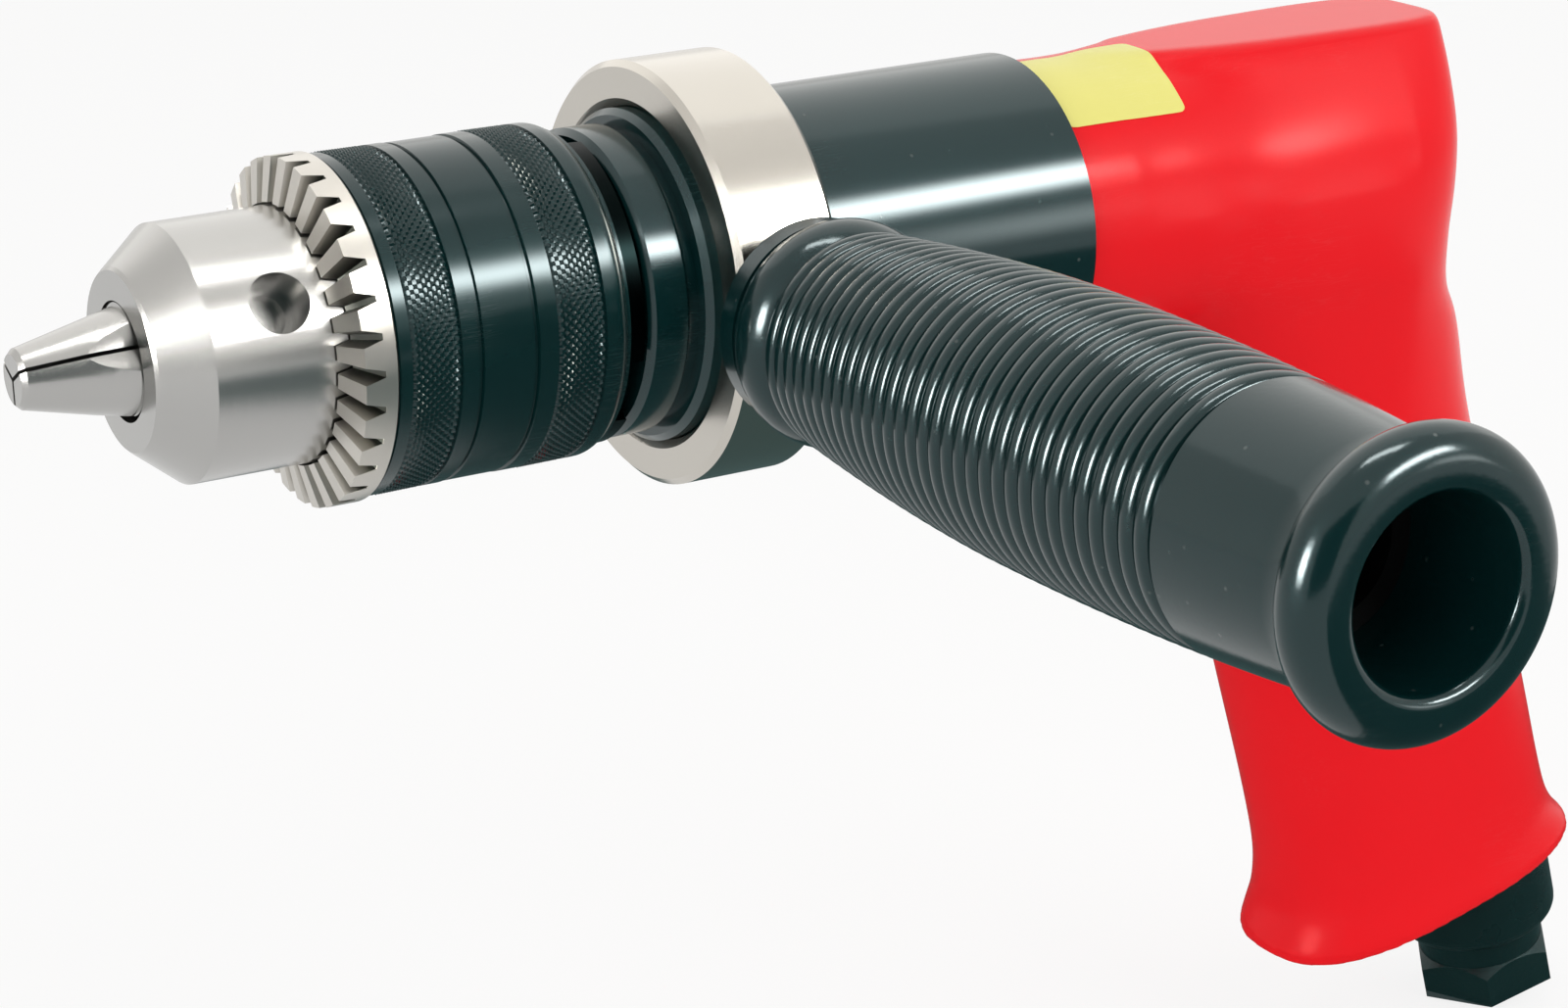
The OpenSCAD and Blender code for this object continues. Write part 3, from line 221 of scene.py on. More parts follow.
# %% Cards
def card(name, direction, distance, length, height, colour, plain, peak=0.0, aim=AIM):
    """A card for reflections only, facing aim: a plain glow, and a peak along its level middle line."""
    mesh = bpy.data.meshes.new(name)
    shape = bmesh.new()
    bmesh.ops.create_grid(shape, x_segments=1, y_segments=1, size=0.5)
    shape.to_mesh(mesh)
    shape.free()
    board = bpy.data.objects.new(name, mesh)
    scene.collection.objects.link(board)
    away = Vector(direction).normalized()
    turn = away.to_track_quat("Z", "Y").to_matrix().to_4x4()
    place = Matrix.Translation(aim + away * distance)
    board.matrix_world = place @ turn @ Matrix.Diagonal((length, height, 1, 1))
    board.visible_camera = board.visible_diffuse = board.visible_shadow = False
    material, tree, output = blank_material(name)
    glow = tree.nodes.new("ShaderNodeEmission")
    glow.inputs["Color"].default_value = (*colour, 1)
    axes = tree.nodes.new("ShaderNodeSeparateXYZ")
    apart = tree.nodes.new("ShaderNodeMath")
    apart.operation = "ABSOLUTE"
    level = tree.nodes.new("ShaderNodeMapRange")
    level.interpolation_type = "SMOOTHSTEP"
    for socket, number in zip(("From Max", "To Min", "To Max"), (0.5, plain + peak, plain)):
        level.inputs[socket].default_value = number
    tree.links.new(tree.nodes.new("ShaderNodeTexCoord").outputs["Object"], axes.inputs[0])
    tree.links.new(axes.outputs["Y"], apart.inputs[0])
    tree.links.new(apart.outputs[0], level.inputs["Value"])
    tree.links.new(level.outputs[0], glow.inputs["Strength"])
    tree.links.new(glow.outputs[0], output.inputs["Surface"])
    mesh.materials.append(material)


SHADE_AIM, SHADE_LIFT = Vector((-0.244, 0.13, 0)), 1.5 * MM
card("line_card", (-0.39, 0.765, 0.515), 1.3, 0.7, 0.44, WARM, 1.0, peak=36.0)
card("tail_card", (-0.61, 0.78, 0.10), 1.3, 0.32, 0.5, WARM, 1.0, peak=4.0)
card("spark_card", (0.96, 0.10, 0.26), 1.2, 0.36, 0.62, WARM, 1.0, peak=60.0)
card("over_card", (-0.06, 0.05, 0.98), 1.1, 0.15, 0.6, WARM, 17.0)
card("ceiling", (-0.35, -0.65, 0.68), 1.6, 3.0, 1.9, WARM, 1.5)
card("shade", (0, 0.001, -1), -FLOOR_Z - SHADE_LIFT, 0.312, 0.94, COLD, 0.12, aim=SHADE_AIM)
card("dark_end", (0.5, 0.82, 0.12), 1.3, 1.2, 1.3, COLD, 0.08)

# %% [markdown]
# ## Effects that several finishes share
# A finish looks real when its colour, gloss and relief drift a little over the surface. Each such effect is
# a node group with named sockets: slow drift of tone, turning marks along an axis, hairline scratches, fine
# grain and specks of dust. A group only reads where a point is on the object, so nothing slides when the
# view changes.


# %% Node group helper
def effect_group(name, inputs, outputs):
    """An empty shader group with float inputs (name, default) and float outputs."""
    group = bpy.data.node_groups.new(name, "ShaderNodeTree")
    for socket, default in inputs:
        made = group.interface.new_socket(socket, in_out="INPUT", socket_type="NodeSocketFloat")
        made.default_value = default
    for socket in outputs:
        group.interface.new_socket(socket, in_out="OUTPUT", socket_type="NodeSocketFloat")
    source = group.nodes.new("NodeGroupInput")
    sink = group.nodes.new("NodeGroupOutput")
    place = group.nodes.new("ShaderNodeTexCoord").outputs["Object"]
    return group, source.outputs, sink.inputs, place


def noise(tree, place, scale, detail=3.0, rough=0.5):
    """A noise texture's value at a place; the scale is a number or a socket."""
    node = tree.nodes.new("ShaderNodeTexNoise")
    node.inputs["Detail"].default_value = detail
    node.inputs["Roughness"].default_value = rough
    tree.links.new(place, node.inputs["Vector"])
    if isinstance(scale, (int, float)):
        node.inputs["Scale"].default_value = scale
    else:
        tree.links.new(scale, node.inputs["Scale"])
    return node.outputs[0]


def maths(tree, operation, a, b=None):
    """A math node on two values, each a number or a socket."""
    node = tree.nodes.new("ShaderNodeMath")
    node.operation = operation
    for slot, value in zip(node.inputs, (a, b)):
        if value is None:
            continue
        if isinstance(value, (int, float)):
            slot.default_value = value
        else:
            tree.links.new(value, slot)
    return node.outputs[0]


def ramp(tree, value, low, high, to_low=0.0, to_high=1.0):
    """Maps low..high to to_low..to_high, clamped."""
    node = tree.nodes.new("ShaderNodeMapRange")
    for socket, number in zip(("From Min", "From Max", "To Min", "To Max"), (low, high, to_low, to_high)):
        node.inputs[socket].default_value = number
    tree.links.new(value, node.inputs["Value"])
    return node.outputs[0]


def stretched(tree, place, scales, turn=(0, 0, 0)):
    """The place with each axis scaled, after a turn, for grain that runs one way."""
    node = tree.nodes.new("ShaderNodeMapping")
    node.inputs["Rotation"].default_value = turn
    node.inputs["Scale"].default_value = scales
    tree.links.new(place, node.inputs["Vector"])
    return node.outputs[0]


# %% Drift of tone and fine grain
drift, given, gives, place = effect_group("tone_drift", [("Scale", 30.0), ("Amount", 0.1)], ["Factor"])
slow = noise(drift, place, given["Scale"], 4.0, 0.6)
swing = maths(drift, "MULTIPLY", maths(drift, "SUBTRACT", slow, 0.5), given["Amount"])
drift.links.new(maths(drift, "ADD", swing, 1.0), gives["Factor"])

grain, given, gives, place = effect_group("fine_grain", [("Scale", 900.0)], ["Height"])
grain.links.new(noise(grain, place, given["Scale"], 2.0, 0.55), gives["Height"])
print("groups:", [g.name for g in bpy.data.node_groups])

# %% Turning marks, scratches and specks
HAIR_WIDTH, HAIR_PATCHES = 0.012, (0.52, 0.66)
DOT_EDGE, DOT_PATCHES = (0.05, 0.13), (0.56, 0.7)
turning, given, gives, place = effect_group("turning_marks", [("Pitch", 1500.0), ("Wander", 6.0)], ["Height"])
along = stretched(turning, place, (1.0, 0.004, 0.004))
rings = noise(turning, along, given["Pitch"], 3.0, 0.7)
patches = ramp(turning, noise(turning, place, given["Wander"], 2.0), 0.3, 0.7, 0.5, 1.0)
turning.links.new(maths(turning, "MULTIPLY", rings, patches), gives["Height"])

scratches, given, gives, place = effect_group("hairlines", [("Scale", 60.0), ("Share", 0.3)], ["Mask"])
total = None
for turn in ((0.3, 0.2, 0.5), (1.1, -0.4, 1.9), (-0.7, 0.9, 2.8)):
    line = noise(scratches, stretched(scratches, place, (1.0, 14.0, 14.0), turn), given["Scale"], 1.0)
    off_middle = maths(scratches, "ABSOLUTE", maths(scratches, "SUBTRACT", line, 0.5))
    thin = ramp(scratches, off_middle, 0.0, HAIR_WIDTH, 1.0, 0.0)
    total = thin if total is None else maths(scratches, "MAXIMUM", total, thin)
here = ramp(scratches, noise(scratches, place, 55.0, 1.0), *HAIR_PATCHES)
some = maths(scratches, "MULTIPLY", total, here)
scratches.links.new(maths(scratches, "MULTIPLY", some, given["Share"]), gives["Mask"])

specks, given, gives, place = effect_group("dust_specks", [("Scale", 420.0), ("Share", 0.5)], ["Mask"])
cells = specks.nodes.new("ShaderNodeTexVoronoi")
specks.links.new(place, cells.inputs["Vector"])
specks.links.new(given["Scale"], cells.inputs["Scale"])
dots = ramp(specks, cells.outputs["Distance"], *DOT_EDGE, 1.0, 0.0)
rare = ramp(specks, noise(specks, place, 140.0, 2.0), *DOT_PATCHES)
some = maths(specks, "MULTIPLY", dots, rare)
specks.links.new(maths(specks, "MULTIPLY", some, given["Share"]), gives["Mask"])
print("groups:", [g.name for g in bpy.data.node_groups])

# %% [markdown]
# ## Finishes
# One function sets up the Principled shader that every finish needs and leaves room for its own effects:
# how much the tone drifts, which relief it has and how deep, and what scratches and dust do to its gloss.
# The numbers that are the same all over a surface sit on the shader itself.


# %% Finish helper
WEAR_DULLS = 0.25


def finish(
    name,
    colour,
    metal,
    roughness,
    drift_by,
    relief,
    depth,
    worn=None,
    dust=None,
    specular=0.5,
    tint=(1.0, 1.0, 1.0),
    marks=(),
):
    """A procedural material.

    drift_by is (scale, amount) of the tone's drift; relief is (group, {socket: value}) and depth its height;
    worn and dust are (scale, share, colour); tint colours the mirror image; marks are (mask maker, colour),
    laid over the rest in turn.
    """
    material, tree, output = blank_material(name)
    shader = tree.nodes.new("ShaderNodeBsdfPrincipled")
    shader.inputs["Metallic"].default_value = metal
    shader.inputs["Specular IOR Level"].default_value = specular
    shader.inputs["Specular Tint"].default_value = (*tint, 1)
    tree.links.new(shader.outputs[0], output.inputs["Surface"])

    def effect(group, values):
        node = tree.nodes.new("ShaderNodeGroup")
        node.node_tree = group
        for socket, value in values.items():
            node.inputs[socket].default_value = value
        return node.outputs[0]

    def laid_over(under, mask, top):
        over = tree.nodes.new("ShaderNodeMix")
        over.data_type = "RGBA"
        over.inputs[7].default_value = (*top, 1)
        tree.links.new(mask, over.inputs[0])
        tree.links.new(under, over.inputs[6])
        return over.outputs[2]

    tone = effect(drift, {"Scale": drift_by[0], "Amount": drift_by[1]})
    paint = tree.nodes.new("ShaderNodeMix")
    paint.data_type = "RGBA"
    paint.blend_type = "MULTIPLY"
    paint.inputs[0].default_value = 1.0
    paint.inputs[6].default_value = (*colour, 1)
    tree.links.new(tone, paint.inputs[7])
    shade, rough = paint.outputs[2], maths(tree, "MULTIPLY", tone, roughness)
    for spread, group in ((worn, scratches), (dust, specks)):
        if spread:
            mask = effect(group, {"Scale": spread[0], "Share": spread[1]})
            shade = laid_over(shade, mask, spread[2])
            rough = maths(tree, "ADD", rough, maths(tree, "MULTIPLY", mask, WEAR_DULLS))
    for maker, mark in marks:
        shade = laid_over(shade, maker(tree), mark)
    tree.links.new(shade, shader.inputs["Base Color"])
    tree.links.new(rough, shader.inputs["Roughness"])
    bump = tree.nodes.new("ShaderNodeBump")
    bump.inputs["Strength"].default_value = 1.0
    bump.inputs["Distance"].default_value = depth
    tree.links.new(effect(*relief), bump.inputs["Height"])
    tree.links.new(bump.outputs[0], shader.inputs["Normal"])
    return material


# %% Places that a mark can pick
TAIL_X, CREST_FROM = -55.5 * MM, 0.6
TOOTH_R, CROWN_SLOPE, GAP_FROM, GAP_TO, RIM = 15.7 * MM, 0.217, 0.2 * MM, 2 * MM, 0.06 * MM
teeth_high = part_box("tooth_ring")[1]


def by_axis(tree):
    """A point's x, and its distance from the spindle's axis."""
    axes = tree.nodes.new("ShaderNodeSeparateXYZ")
    tree.links.new(tree.nodes.new("ShaderNodeTexCoord").outputs["Object"], axes.inputs[0])
    squares = [maths(tree, "POWER", axes.outputs[side], 2.0) for side in ("Y", "Z")]
    return axes.outputs["X"], maths(tree, "SQRT", maths(tree, "ADD", *squares))


def on_crests(tree):
    """The tips of the knurling, from the mesh's own attribute."""
    height = tree.nodes.new("ShaderNodeAttribute")
    height.attribute_name = "crest"
    return ramp(tree, height.outputs["Fac"], CREST_FROM, 1.0)


def chuck_tail_shade(tree):
    """Painted shade on the tail of the chuck body, in the gap behind its sleeve."""
    return maths(tree, "LESS_THAN", by_axis(tree)[0], TAIL_X)


def tooth_gap_shade(tree):
    """Painted shade in the gaps between the bevel teeth, by their depth below the crown."""
    x, radius = by_axis(tree)
    beyond = maths(tree, "SUBTRACT", radius, TOOTH_R)
    crown = maths(tree, "ADD", x, maths(tree, "MULTIPLY", beyond, CROWN_SLOPE))
    depth = ramp(tree, maths(tree, "SUBTRACT", teeth_high.x, crown), GAP_FROM, GAP_TO)
    return maths(tree, "MULTIPLY", depth, maths(tree, "LESS_THAN", radius, teeth_high.z - RIM))


print("tooth ring's front and radius:", round(teeth_high.x, 4), round(teeth_high.z, 4))

# %% Paint, label and black finishes
COOL = (0.82, 0.965, 1.0)
FINISHES = {
    "red_paint": finish(
        "red_paint", (0.82, 0.0095, 0.016), metal=0.0, roughness=0.24, drift_by=(18.0, 0.06),
        relief=(grain, {"Scale": 260.0}), depth=0.00002,
        worn=(70.0, 0.05, (0.9, 0.2, 0.2)), specular=0.11,
    ),
    "label": finish(
        "label_film", (0.77, 0.73, 0.21), metal=0.0, roughness=0.34, drift_by=(60.0, 0.08),
        relief=(grain, {"Scale": 700.0}), depth=0.00002,
        worn=(90.0, 0.10, (0.95, 0.9, 0.6)), specular=0.2,
    ),
    "black_barrel": finish(
        "black_barrel", (0.002, 0.018, 0.019), metal=0.0, roughness=0.15, drift_by=(25.0, 0.4),
        relief=(turning, {"Pitch": 2600.0}), depth=0.000003,
        worn=(80.0, 0.05, (0.2, 0.2, 0.2)), dust=(420.0, 0.15, (0.4, 0.4, 0.38)), specular=0.55, tint=COOL,
    ),
    "black_oxide": finish(
        "black_oxide", (0.0015, 0.016, 0.0165), metal=0.0, roughness=0.19, drift_by=(30.0, 0.5),
        relief=(turning, {"Pitch": 1800.0}), depth=0.000004,
        worn=(90.0, 0.08, (0.3, 0.3, 0.3)), specular=0.42, tint=COOL,
        marks=[(on_crests, (0.05, 0.065, 0.065))],
    ),
    "inlet_black": finish(
        "inlet_black", (0.003, 0.018, 0.018), metal=0.0, roughness=0.30, drift_by=(60.0, 0.6),
        relief=(grain, {"Scale": 1200.0}), depth=0.00004,
        worn=(100.0, 0.10, (0.15, 0.16, 0.16)), specular=0.4, tint=COOL,
    ),
}
print("finishes:", len(FINISHES))

# %% Metals and the core tube, with painted shade
FINISHES |= {
    "nickel": finish(
        "nickel", (0.53, 0.505, 0.46), metal=1.0, roughness=0.2, drift_by=(22.0, 0.10),
        relief=(turning, {"Pitch": 1400.0}), depth=0.000008,
        worn=(70.0, 0.12, (0.3, 0.29, 0.27)), dust=(420.0, 0.12, (0.3, 0.29, 0.27)),
    ),
    "tooth_nickel": finish(
        "tooth_nickel", (0.52, 0.50, 0.46), metal=1.0, roughness=0.3, drift_by=(60.0, 0.25),
        relief=(grain, {"Scale": 900.0}), depth=0.00001,
        # the gaps between the teeth are darkened as painted shade
        marks=[(tooth_gap_shade, (0.09, 0.095, 0.085))],
    ),
    "bright_steel": finish(
        "bright_steel", (0.42, 0.417, 0.405), metal=1.0, roughness=0.24, drift_by=(25.0, 0.10),
        relief=(turning, {"Pitch": 1700.0}), depth=0.000006,
        # the chuck's tail behind the sleeve takes a near-black painted shade
        worn=(80.0, 0.12, (0.3, 0.3, 0.3)), marks=[(chuck_tail_shade, (0.002, 0.004, 0.004))],
    ),
    "steel": finish(
        "steel", (0.50, 0.50, 0.50), metal=1.0, roughness=0.32, drift_by=(40.0, 0.12),
        relief=(turning, {"Pitch": 1500.0}), depth=0.000012,
    ),
    "lever_steel": finish(
        "lever_steel", (0.52, 0.52, 0.51), metal=1.0, roughness=0.35, drift_by=(60.0, 0.12),
        relief=(grain, {"Scale": 1500.0}), depth=0.00002,
        worn=(90.0, 0.15, (0.4, 0.4, 0.4)),
    ),
    "brass": finish(
        "brass", (0.70, 0.50, 0.20), metal=1.0, roughness=0.3, drift_by=(40.0, 0.12),
        relief=(turning, {"Pitch": 1500.0}), depth=0.000012,
    ),
    # the core tube sits deep in the handle's bore; its near-black colour is painted shade
    "core": finish(
        "core_tube_shade", (0.004, 0.0045, 0.0045), metal=0.0, roughness=0.6, drift_by=(50.0, 0.3),
        relief=(grain, {"Scale": 900.0}), depth=0.00003, specular=0.1,
    ),
}
print("finishes:", len(FINISHES))

# %% Rubber, plastic and soft finishes
FINISHES |= {
    "rubber": finish(
        "rubber", (0.0015, 0.015, 0.0155), metal=0.0, roughness=0.16, drift_by=(45.0, 0.4),
        relief=(grain, {"Scale": 1400.0}), depth=0.00001,
        worn=(90.0, 0.08, (0.08, 0.1, 0.1)), dust=(420.0, 0.3, (0.35, 0.36, 0.35)), tint=COOL,
    ),
    "seal_rubber": finish(
        "seal_rubber", (0.02, 0.02, 0.02), metal=0.0, roughness=0.6, drift_by=(60.0, 0.3),
        relief=(grain, {"Scale": 1500.0}), depth=0.00003,
    ),
    "black_plastic": finish(
        "black_plastic", (0.016, 0.017, 0.018), metal=0.0, roughness=0.42, drift_by=(50.0, 0.3),
        relief=(grain, {"Scale": 1300.0}), depth=0.00006,
        worn=(90.0, 0.08, (0.1, 0.1, 0.1)),
    ),
    "vane": finish(
        "vane_board", (0.30, 0.16, 0.07), metal=0.0, roughness=0.6, drift_by=(200.0, 0.4),
        relief=(grain, {"Scale": 900.0}), depth=0.00005,
    ),
    "felt": finish(
        "felt", (0.32, 0.31, 0.29), metal=0.0, roughness=0.9, drift_by=(300.0, 0.5),
        relief=(grain, {"Scale": 1600.0}), depth=0.0003,
    ),
}
print("finishes:", len(FINISHES))

# %% [markdown]
# ## Dressing the solids
# The record names a finish for every node, so each solid takes the material of its slot. Only the tooth
# ring has a nickel of its own, with painted shade in the gaps between its teeth. The meshes stay as they
# came: only the material slot changes.

# %% Materials for the solids
slot_of = {part["node"]: part["material_slot"] for part in frame["record"]["subparts"]}
for name, node in nodes.items():
    node.data.materials.clear()
    node.data.materials.append(FINISHES["tooth_nickel" if name == "tooth_ring" else slot_of[name]])
print("dressed nodes:", len(nodes))


# %% [markdown]
# ## Making a piece
# Each new piece starts as a bmesh. One helper closes its seams, turns its faces outwards, gives it its
# finish and lets it ride on its body, and hides the solids it stands for.


# %% Piece helpers
SEAM = 1e-7


def make_piece(name, bm, body, slot, stands_for=(), sharp=40.0):
    """Turns a bmesh into a finished piece that rides on a body."""
    bmesh.ops.remove_doubles(bm, verts=bm.verts, dist=SEAM)
    bmesh.ops.recalc_face_normals(bm, faces=bm.faces)
    mesh = bpy.data.meshes.new(name)
    bm.to_mesh(mesh)
    bm.free()
    mesh.shade_smooth()
    mesh.set_sharp_from_angle(angle=math.radians(sharp))
    piece = bpy.data.objects.new(name, mesh)
    scene.collection.objects.link(piece)
    mesh.materials.append(FINISHES[slot])
    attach(piece, body)
    if stands_for:
        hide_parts(*stands_for)
    print(name, "faces:", len(mesh.polygons))
    return piece


def spun(profile, centre, axis, steps):
    """Spins a closed profile of (station along the axis, radius) round the axis."""
    bm = bmesh.new()
    start = Vector((0, 0, 1))
    verts = [bm.verts.new(centre + axis * along + start * radius) for along, radius in profile]
    edges = [bm.edges.new(pair) for pair in zip(verts, verts[1:] + verts[:1])]
    bmesh.ops.spin(
        bm, geom=verts + edges, cent=centre, axis=axis, angle=math.tau, steps=steps, use_merge=True
    )
    return bm


def arc(along, radius, r, start, stop, steps):
    """Profile points on a circle about (along, radius); 0 degrees points out from the axis, 90 along it."""
    turns = [math.radians(start + (stop - start) * i / steps) for i in range(steps + 1)]
    return [(along + r * math.sin(t), radius + r * math.cos(t)) for t in turns]


# %% [markdown]
# ## The knurled sleeve
# The hand grips the chuck by two bands of diamond knurling. A bump map would leave the bands smooth in
# outline, so the diamonds are geometry: the profile has a row of points every quarter of a diamond and is
# spun in quarter steps too, and then each point moves in by its distance from the two sets of slanting
# grooves.

# %% Sleeve profile
sleeve_low, sleeve_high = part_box("chuck_sleeve")
SLEEVE_R = sleeve_high.z
SLEEVE_L = sleeve_high.x - sleeve_low.x
DIAMONDS = 116
DIAMOND_L = 1.1 * MM
KNURL_DEPTH = 0.42 * MM
knurls = [(1.9 * MM, 8.1 * MM), (20.7 * MM, 26.9 * MM)]
plain_r, groove_r, band_r = SLEEVE_R - 0.12 * MM, SLEEVE_R - 0.55 * MM, SLEEVE_R - 0.2 * MM
inner_front, inner_rear, inner_step = SLEEVE_R - 1.5 * MM, SLEEVE_R - 0.9 * MM, 7.7 * MM
FRONT_EDGE, REAR_ROUND = 0.3 * MM, 2.0 * MM


def knurl_rows(start, stop):
    """The profile's points along one knurled band, four to a diamond."""
    count = round((stop - start) / (DIAMOND_L / 4))
    return [(start + (stop - start) * i / count, SLEEVE_R) for i in range(count + 1)]


profile = [(0, inner_front), (0, plain_r - FRONT_EDGE), (FRONT_EDGE, plain_r), (1.8 * MM, plain_r)]
profile += knurl_rows(*knurls[0])
profile += [(8.2 * MM, plain_r), (10.3 * MM, plain_r)]
profile += [(10.5 * MM, groove_r), (10.8 * MM, groove_r), (11.0 * MM, band_r)]
profile += [(17.5 * MM, band_r), (17.7 * MM, groove_r), (18.0 * MM, groove_r)]
profile += [(18.2 * MM, plain_r), (20.6 * MM, plain_r)]
profile += knurl_rows(*knurls[1])
profile += [(27.0 * MM, plain_r), (SLEEVE_L - 2.2 * MM, plain_r)]
profile += arc(SLEEVE_L - REAR_ROUND, plain_r - REAR_ROUND, REAR_ROUND, 8, 62, 6)
profile += [(SLEEVE_L, inner_rear), (inner_step, inner_rear), (inner_step, inner_front)]
print("sleeve profile points:", len(profile))

# %% Sleeve
FADE_OUT, NEAR, OUTSIDE = 0.3 * MM, 1e-6, inner_rear + 0.3 * MM
bm = spun(profile, Vector((sleeve_high.x, 0, 0)), Vector((-1, 0, 0)), DIAMONDS * 4)
bmesh.ops.remove_doubles(bm, verts=bm.verts, dist=SEAM)
crest = bm.verts.layers.float.new("crest")
for vert in bm.verts:
    down = sleeve_high.x - vert.co.x
    radius = math.hypot(vert.co.y, vert.co.z)
    for start, stop in knurls:
        if start - NEAR <= down <= stop + NEAR and radius > OUTSIDE:
            around = math.atan2(vert.co.z, vert.co.y) / math.tau * DIAMONDS
            across = (down - start) / DIAMOND_L
            apart = min(abs(p - round(p)) for p in (around + across, around - across))
            edge = min(down - start, stop - down) / FADE_OUT
            height = 2 * apart * min(1, edge)
            vert[crest] = height
            new_r = SLEEVE_R - KNURL_DEPTH * (1 - height)
            vert.co.y *= new_r / radius
            vert.co.z *= new_r / radius
make_piece("knurled_sleeve", bm, "sleeve", "black_oxide", ["chuck_sleeve"], sharp=32)

# %% [markdown]
# ## The rubber grip
# The side handle is a rubber moulding: a plate and a rolled lip by the ring, thirty-two rounded ribs, a
# plain neck and a rolled flange round the open end. Each rib is a bead, round on its crest and sharp in the
# groove, so its profile follows half an ellipse. The whole profile is spun once about the handle's own
# axis.

# %% Grip profile
grip_low, grip_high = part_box("handle_grip")
HANDLE_X = (grip_low.x + grip_high.x) / 2
INNER_Y, OUTER_Y = grip_low.y, grip_high.y
RIB_START, RIB_STOP, RIBS, RIB_DEPTH = 41.4 * MM, 118.3 * MM, 32, 0.85 * MM
RIB_SHARES = (0, 0.035, 0.11, 0.22, 0.36, 0.5, 0.64, 0.78, 0.89, 0.965)
BEAD_POWER = 2.2
BELLY_Y, BELLY_R = 83 * MM, 15.8 * MM
INNER_FALL, INNER_POWER, OUTER_FALL, OUTER_POWER = 2.7 * MM, 1.7, 2.5 * MM, 2.2
FLANGE_R, FLANGE_ROUND, BORE_R, BORE_ROUND = 16.1 * MM, 3.7 * MM, 10.05 * MM, 1.2 * MM
NECK_IN, NECK_OUT, NECK_STEPS = 0.8 * MM, 1.6 * MM, 14
GRIP_TURNS = 144
LIP_R, LIP_L, LIP_SPREAD, PLATE_R, PLATE_L = 13.7 * MM, 10.6 * MM, 52, 12.5 * MM, 2.8 * MM


def grip_radius(y):
    """The barrel shape of the grip: thickest at the belly and thinner to both ends."""
    inner = max(0, BELLY_Y - y) / (BELLY_Y - RIB_START)
    outer = max(0, y - BELLY_Y) / (OUTER_Y - 2 * FLANGE_ROUND - BELLY_Y)
    return BELLY_R - INNER_FALL * inner**INNER_POWER - OUTER_FALL * outer**OUTER_POWER


lip_half = (LIP_L - PLATE_L) / 2
lip_round = lip_half / math.sin(math.radians(LIP_SPREAD))
profile = [(INNER_Y, BORE_R), (INNER_Y, PLATE_R), (INNER_Y + PLATE_L, PLATE_R)]
profile += arc(INNER_Y + LIP_L - lip_half, LIP_R - lip_round, lip_round, -LIP_SPREAD, LIP_SPREAD, 14)
pitch = (RIB_STOP - RIB_START) / RIBS
for rib in range(RIBS):
    for share in RIB_SHARES:
        y = RIB_START + (rib + share) * pitch
        bead = math.sqrt(1 - abs(2 * share - 1) ** BEAD_POWER)
        profile.append((y, grip_radius(y) - RIB_DEPTH * (1 - bead)))
profile.append((RIB_STOP, grip_radius(RIB_STOP) - RIB_DEPTH))
neck_from, neck_to = RIB_STOP + NECK_IN, OUTER_Y - 2 * FLANGE_ROUND - NECK_OUT
for i in range(NECK_STEPS + 1):
    y = neck_from + (neck_to - neck_from) * i / NECK_STEPS
    profile.append((y, grip_radius(y)))
profile += arc(OUTER_Y - FLANGE_ROUND, FLANGE_R - FLANGE_ROUND, FLANGE_ROUND, -68, 80, 18)
profile += arc(OUTER_Y - BORE_ROUND, BORE_R + BORE_ROUND, BORE_ROUND, 90, 180, 6)
print("grip profile points:", len(profile))

# %% Grip
bm = spun(profile, Vector((HANDLE_X, 0, 0)), Vector((0, 1, 0)), GRIP_TURNS)
make_piece("ribbed_grip", bm, "side_handle", "rubber", ["handle_grip"], sharp=48)

# %% [markdown]
# ## The cast housing
# The red housing is one casting: a round collar that swells into a flat-topped motor body and runs down
# into the raked grip. It is lofted from level slices, each a superellipse, which is an ellipse with squarer
# or rounder corners, tapered forward like an egg near the flat top. The rows below give each slice's place
# and size, its squareness in front and behind and its taper, and a smooth curve runs through the rows.

# %% Housing rows
COLLAR_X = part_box("gear_case")[0].x
COLLAR_R, TOP_H, BODY_L, BODY_HALF_W = 19.3 * MM, 19.7 * MM, 68 * MM, 19.5 * MM
GRIP_X, GRIP_L, RAKE = COLLAR_X - 44.4 * MM, 114.6 * MM, math.radians(13.7)
GRIP_HALF_D, GRIP_HALF_W = 23.3 * MM, 14.5 * MM
BODY_ROWS = [
    (1, 0.155, 0.975, 0.42, 1.8, 3.8, 0.22), (0.985, 0.145, 0.982, 0.46, 1.9, 3.8, 0.2),
    (0.93, 0.15, 0.985, 0.53, 2, 3.8, 0.15), (0.6, 0.2, 0.985, 0.76, 2.4, 3.8, 0.05),
    (0.25, 0.22, 0.983, 0.95, 2.8, 3.6, 0), (-0.1, 0.21, 0.98, 1, 3, 3.4, 0),
    (-0.5, 0.21, 0.978, 0.97, 2.9, 3.2, 0), (-0.88, 0.29, 1, 0.88, 2.7, 2.9, 0),
]
GRIP_ROWS = [
    (0.26, 0.95, 0.9, 1.05, 2.5, 2.5, 0), (0.38, 1.01, 0.9, 1.01, 2.4, 2.4, 0),
    (0.6, 1, 0.95, 0.99, 2.4, 2.4, 0), (0.78, 0.98, 0.98, 0.98, 2.4, 2.4, 0),
    (0.88, 0.98, 0.98, 0.99, 2.5, 2.5, 0), (0.935, 1.03, 1, 1.01, 2.6, 2.5, 0),
    (0.965, 1.1, 1.04, 1.04, 2.7, 2.6, 0), (0.985, 1.16, 1.1, 1.07, 2.7, 2.6, 0),
    (0.995, 1.165, 1.11, 1.07, 2.7, 2.6, 0), (1, 1.12, 1.08, 1.04, 2.7, 2.6, 0),
]
slices = []
for height, front, back, width, *shape in BODY_ROWS:
    middle = COLLAR_X - (front + back) / 2 * BODY_L
    half_depth, half_width = (back - front) / 2 * BODY_L, width * BODY_HALF_W
    slices.append(Vector((middle, height * TOP_H, 0, half_depth, half_width, *shape)))
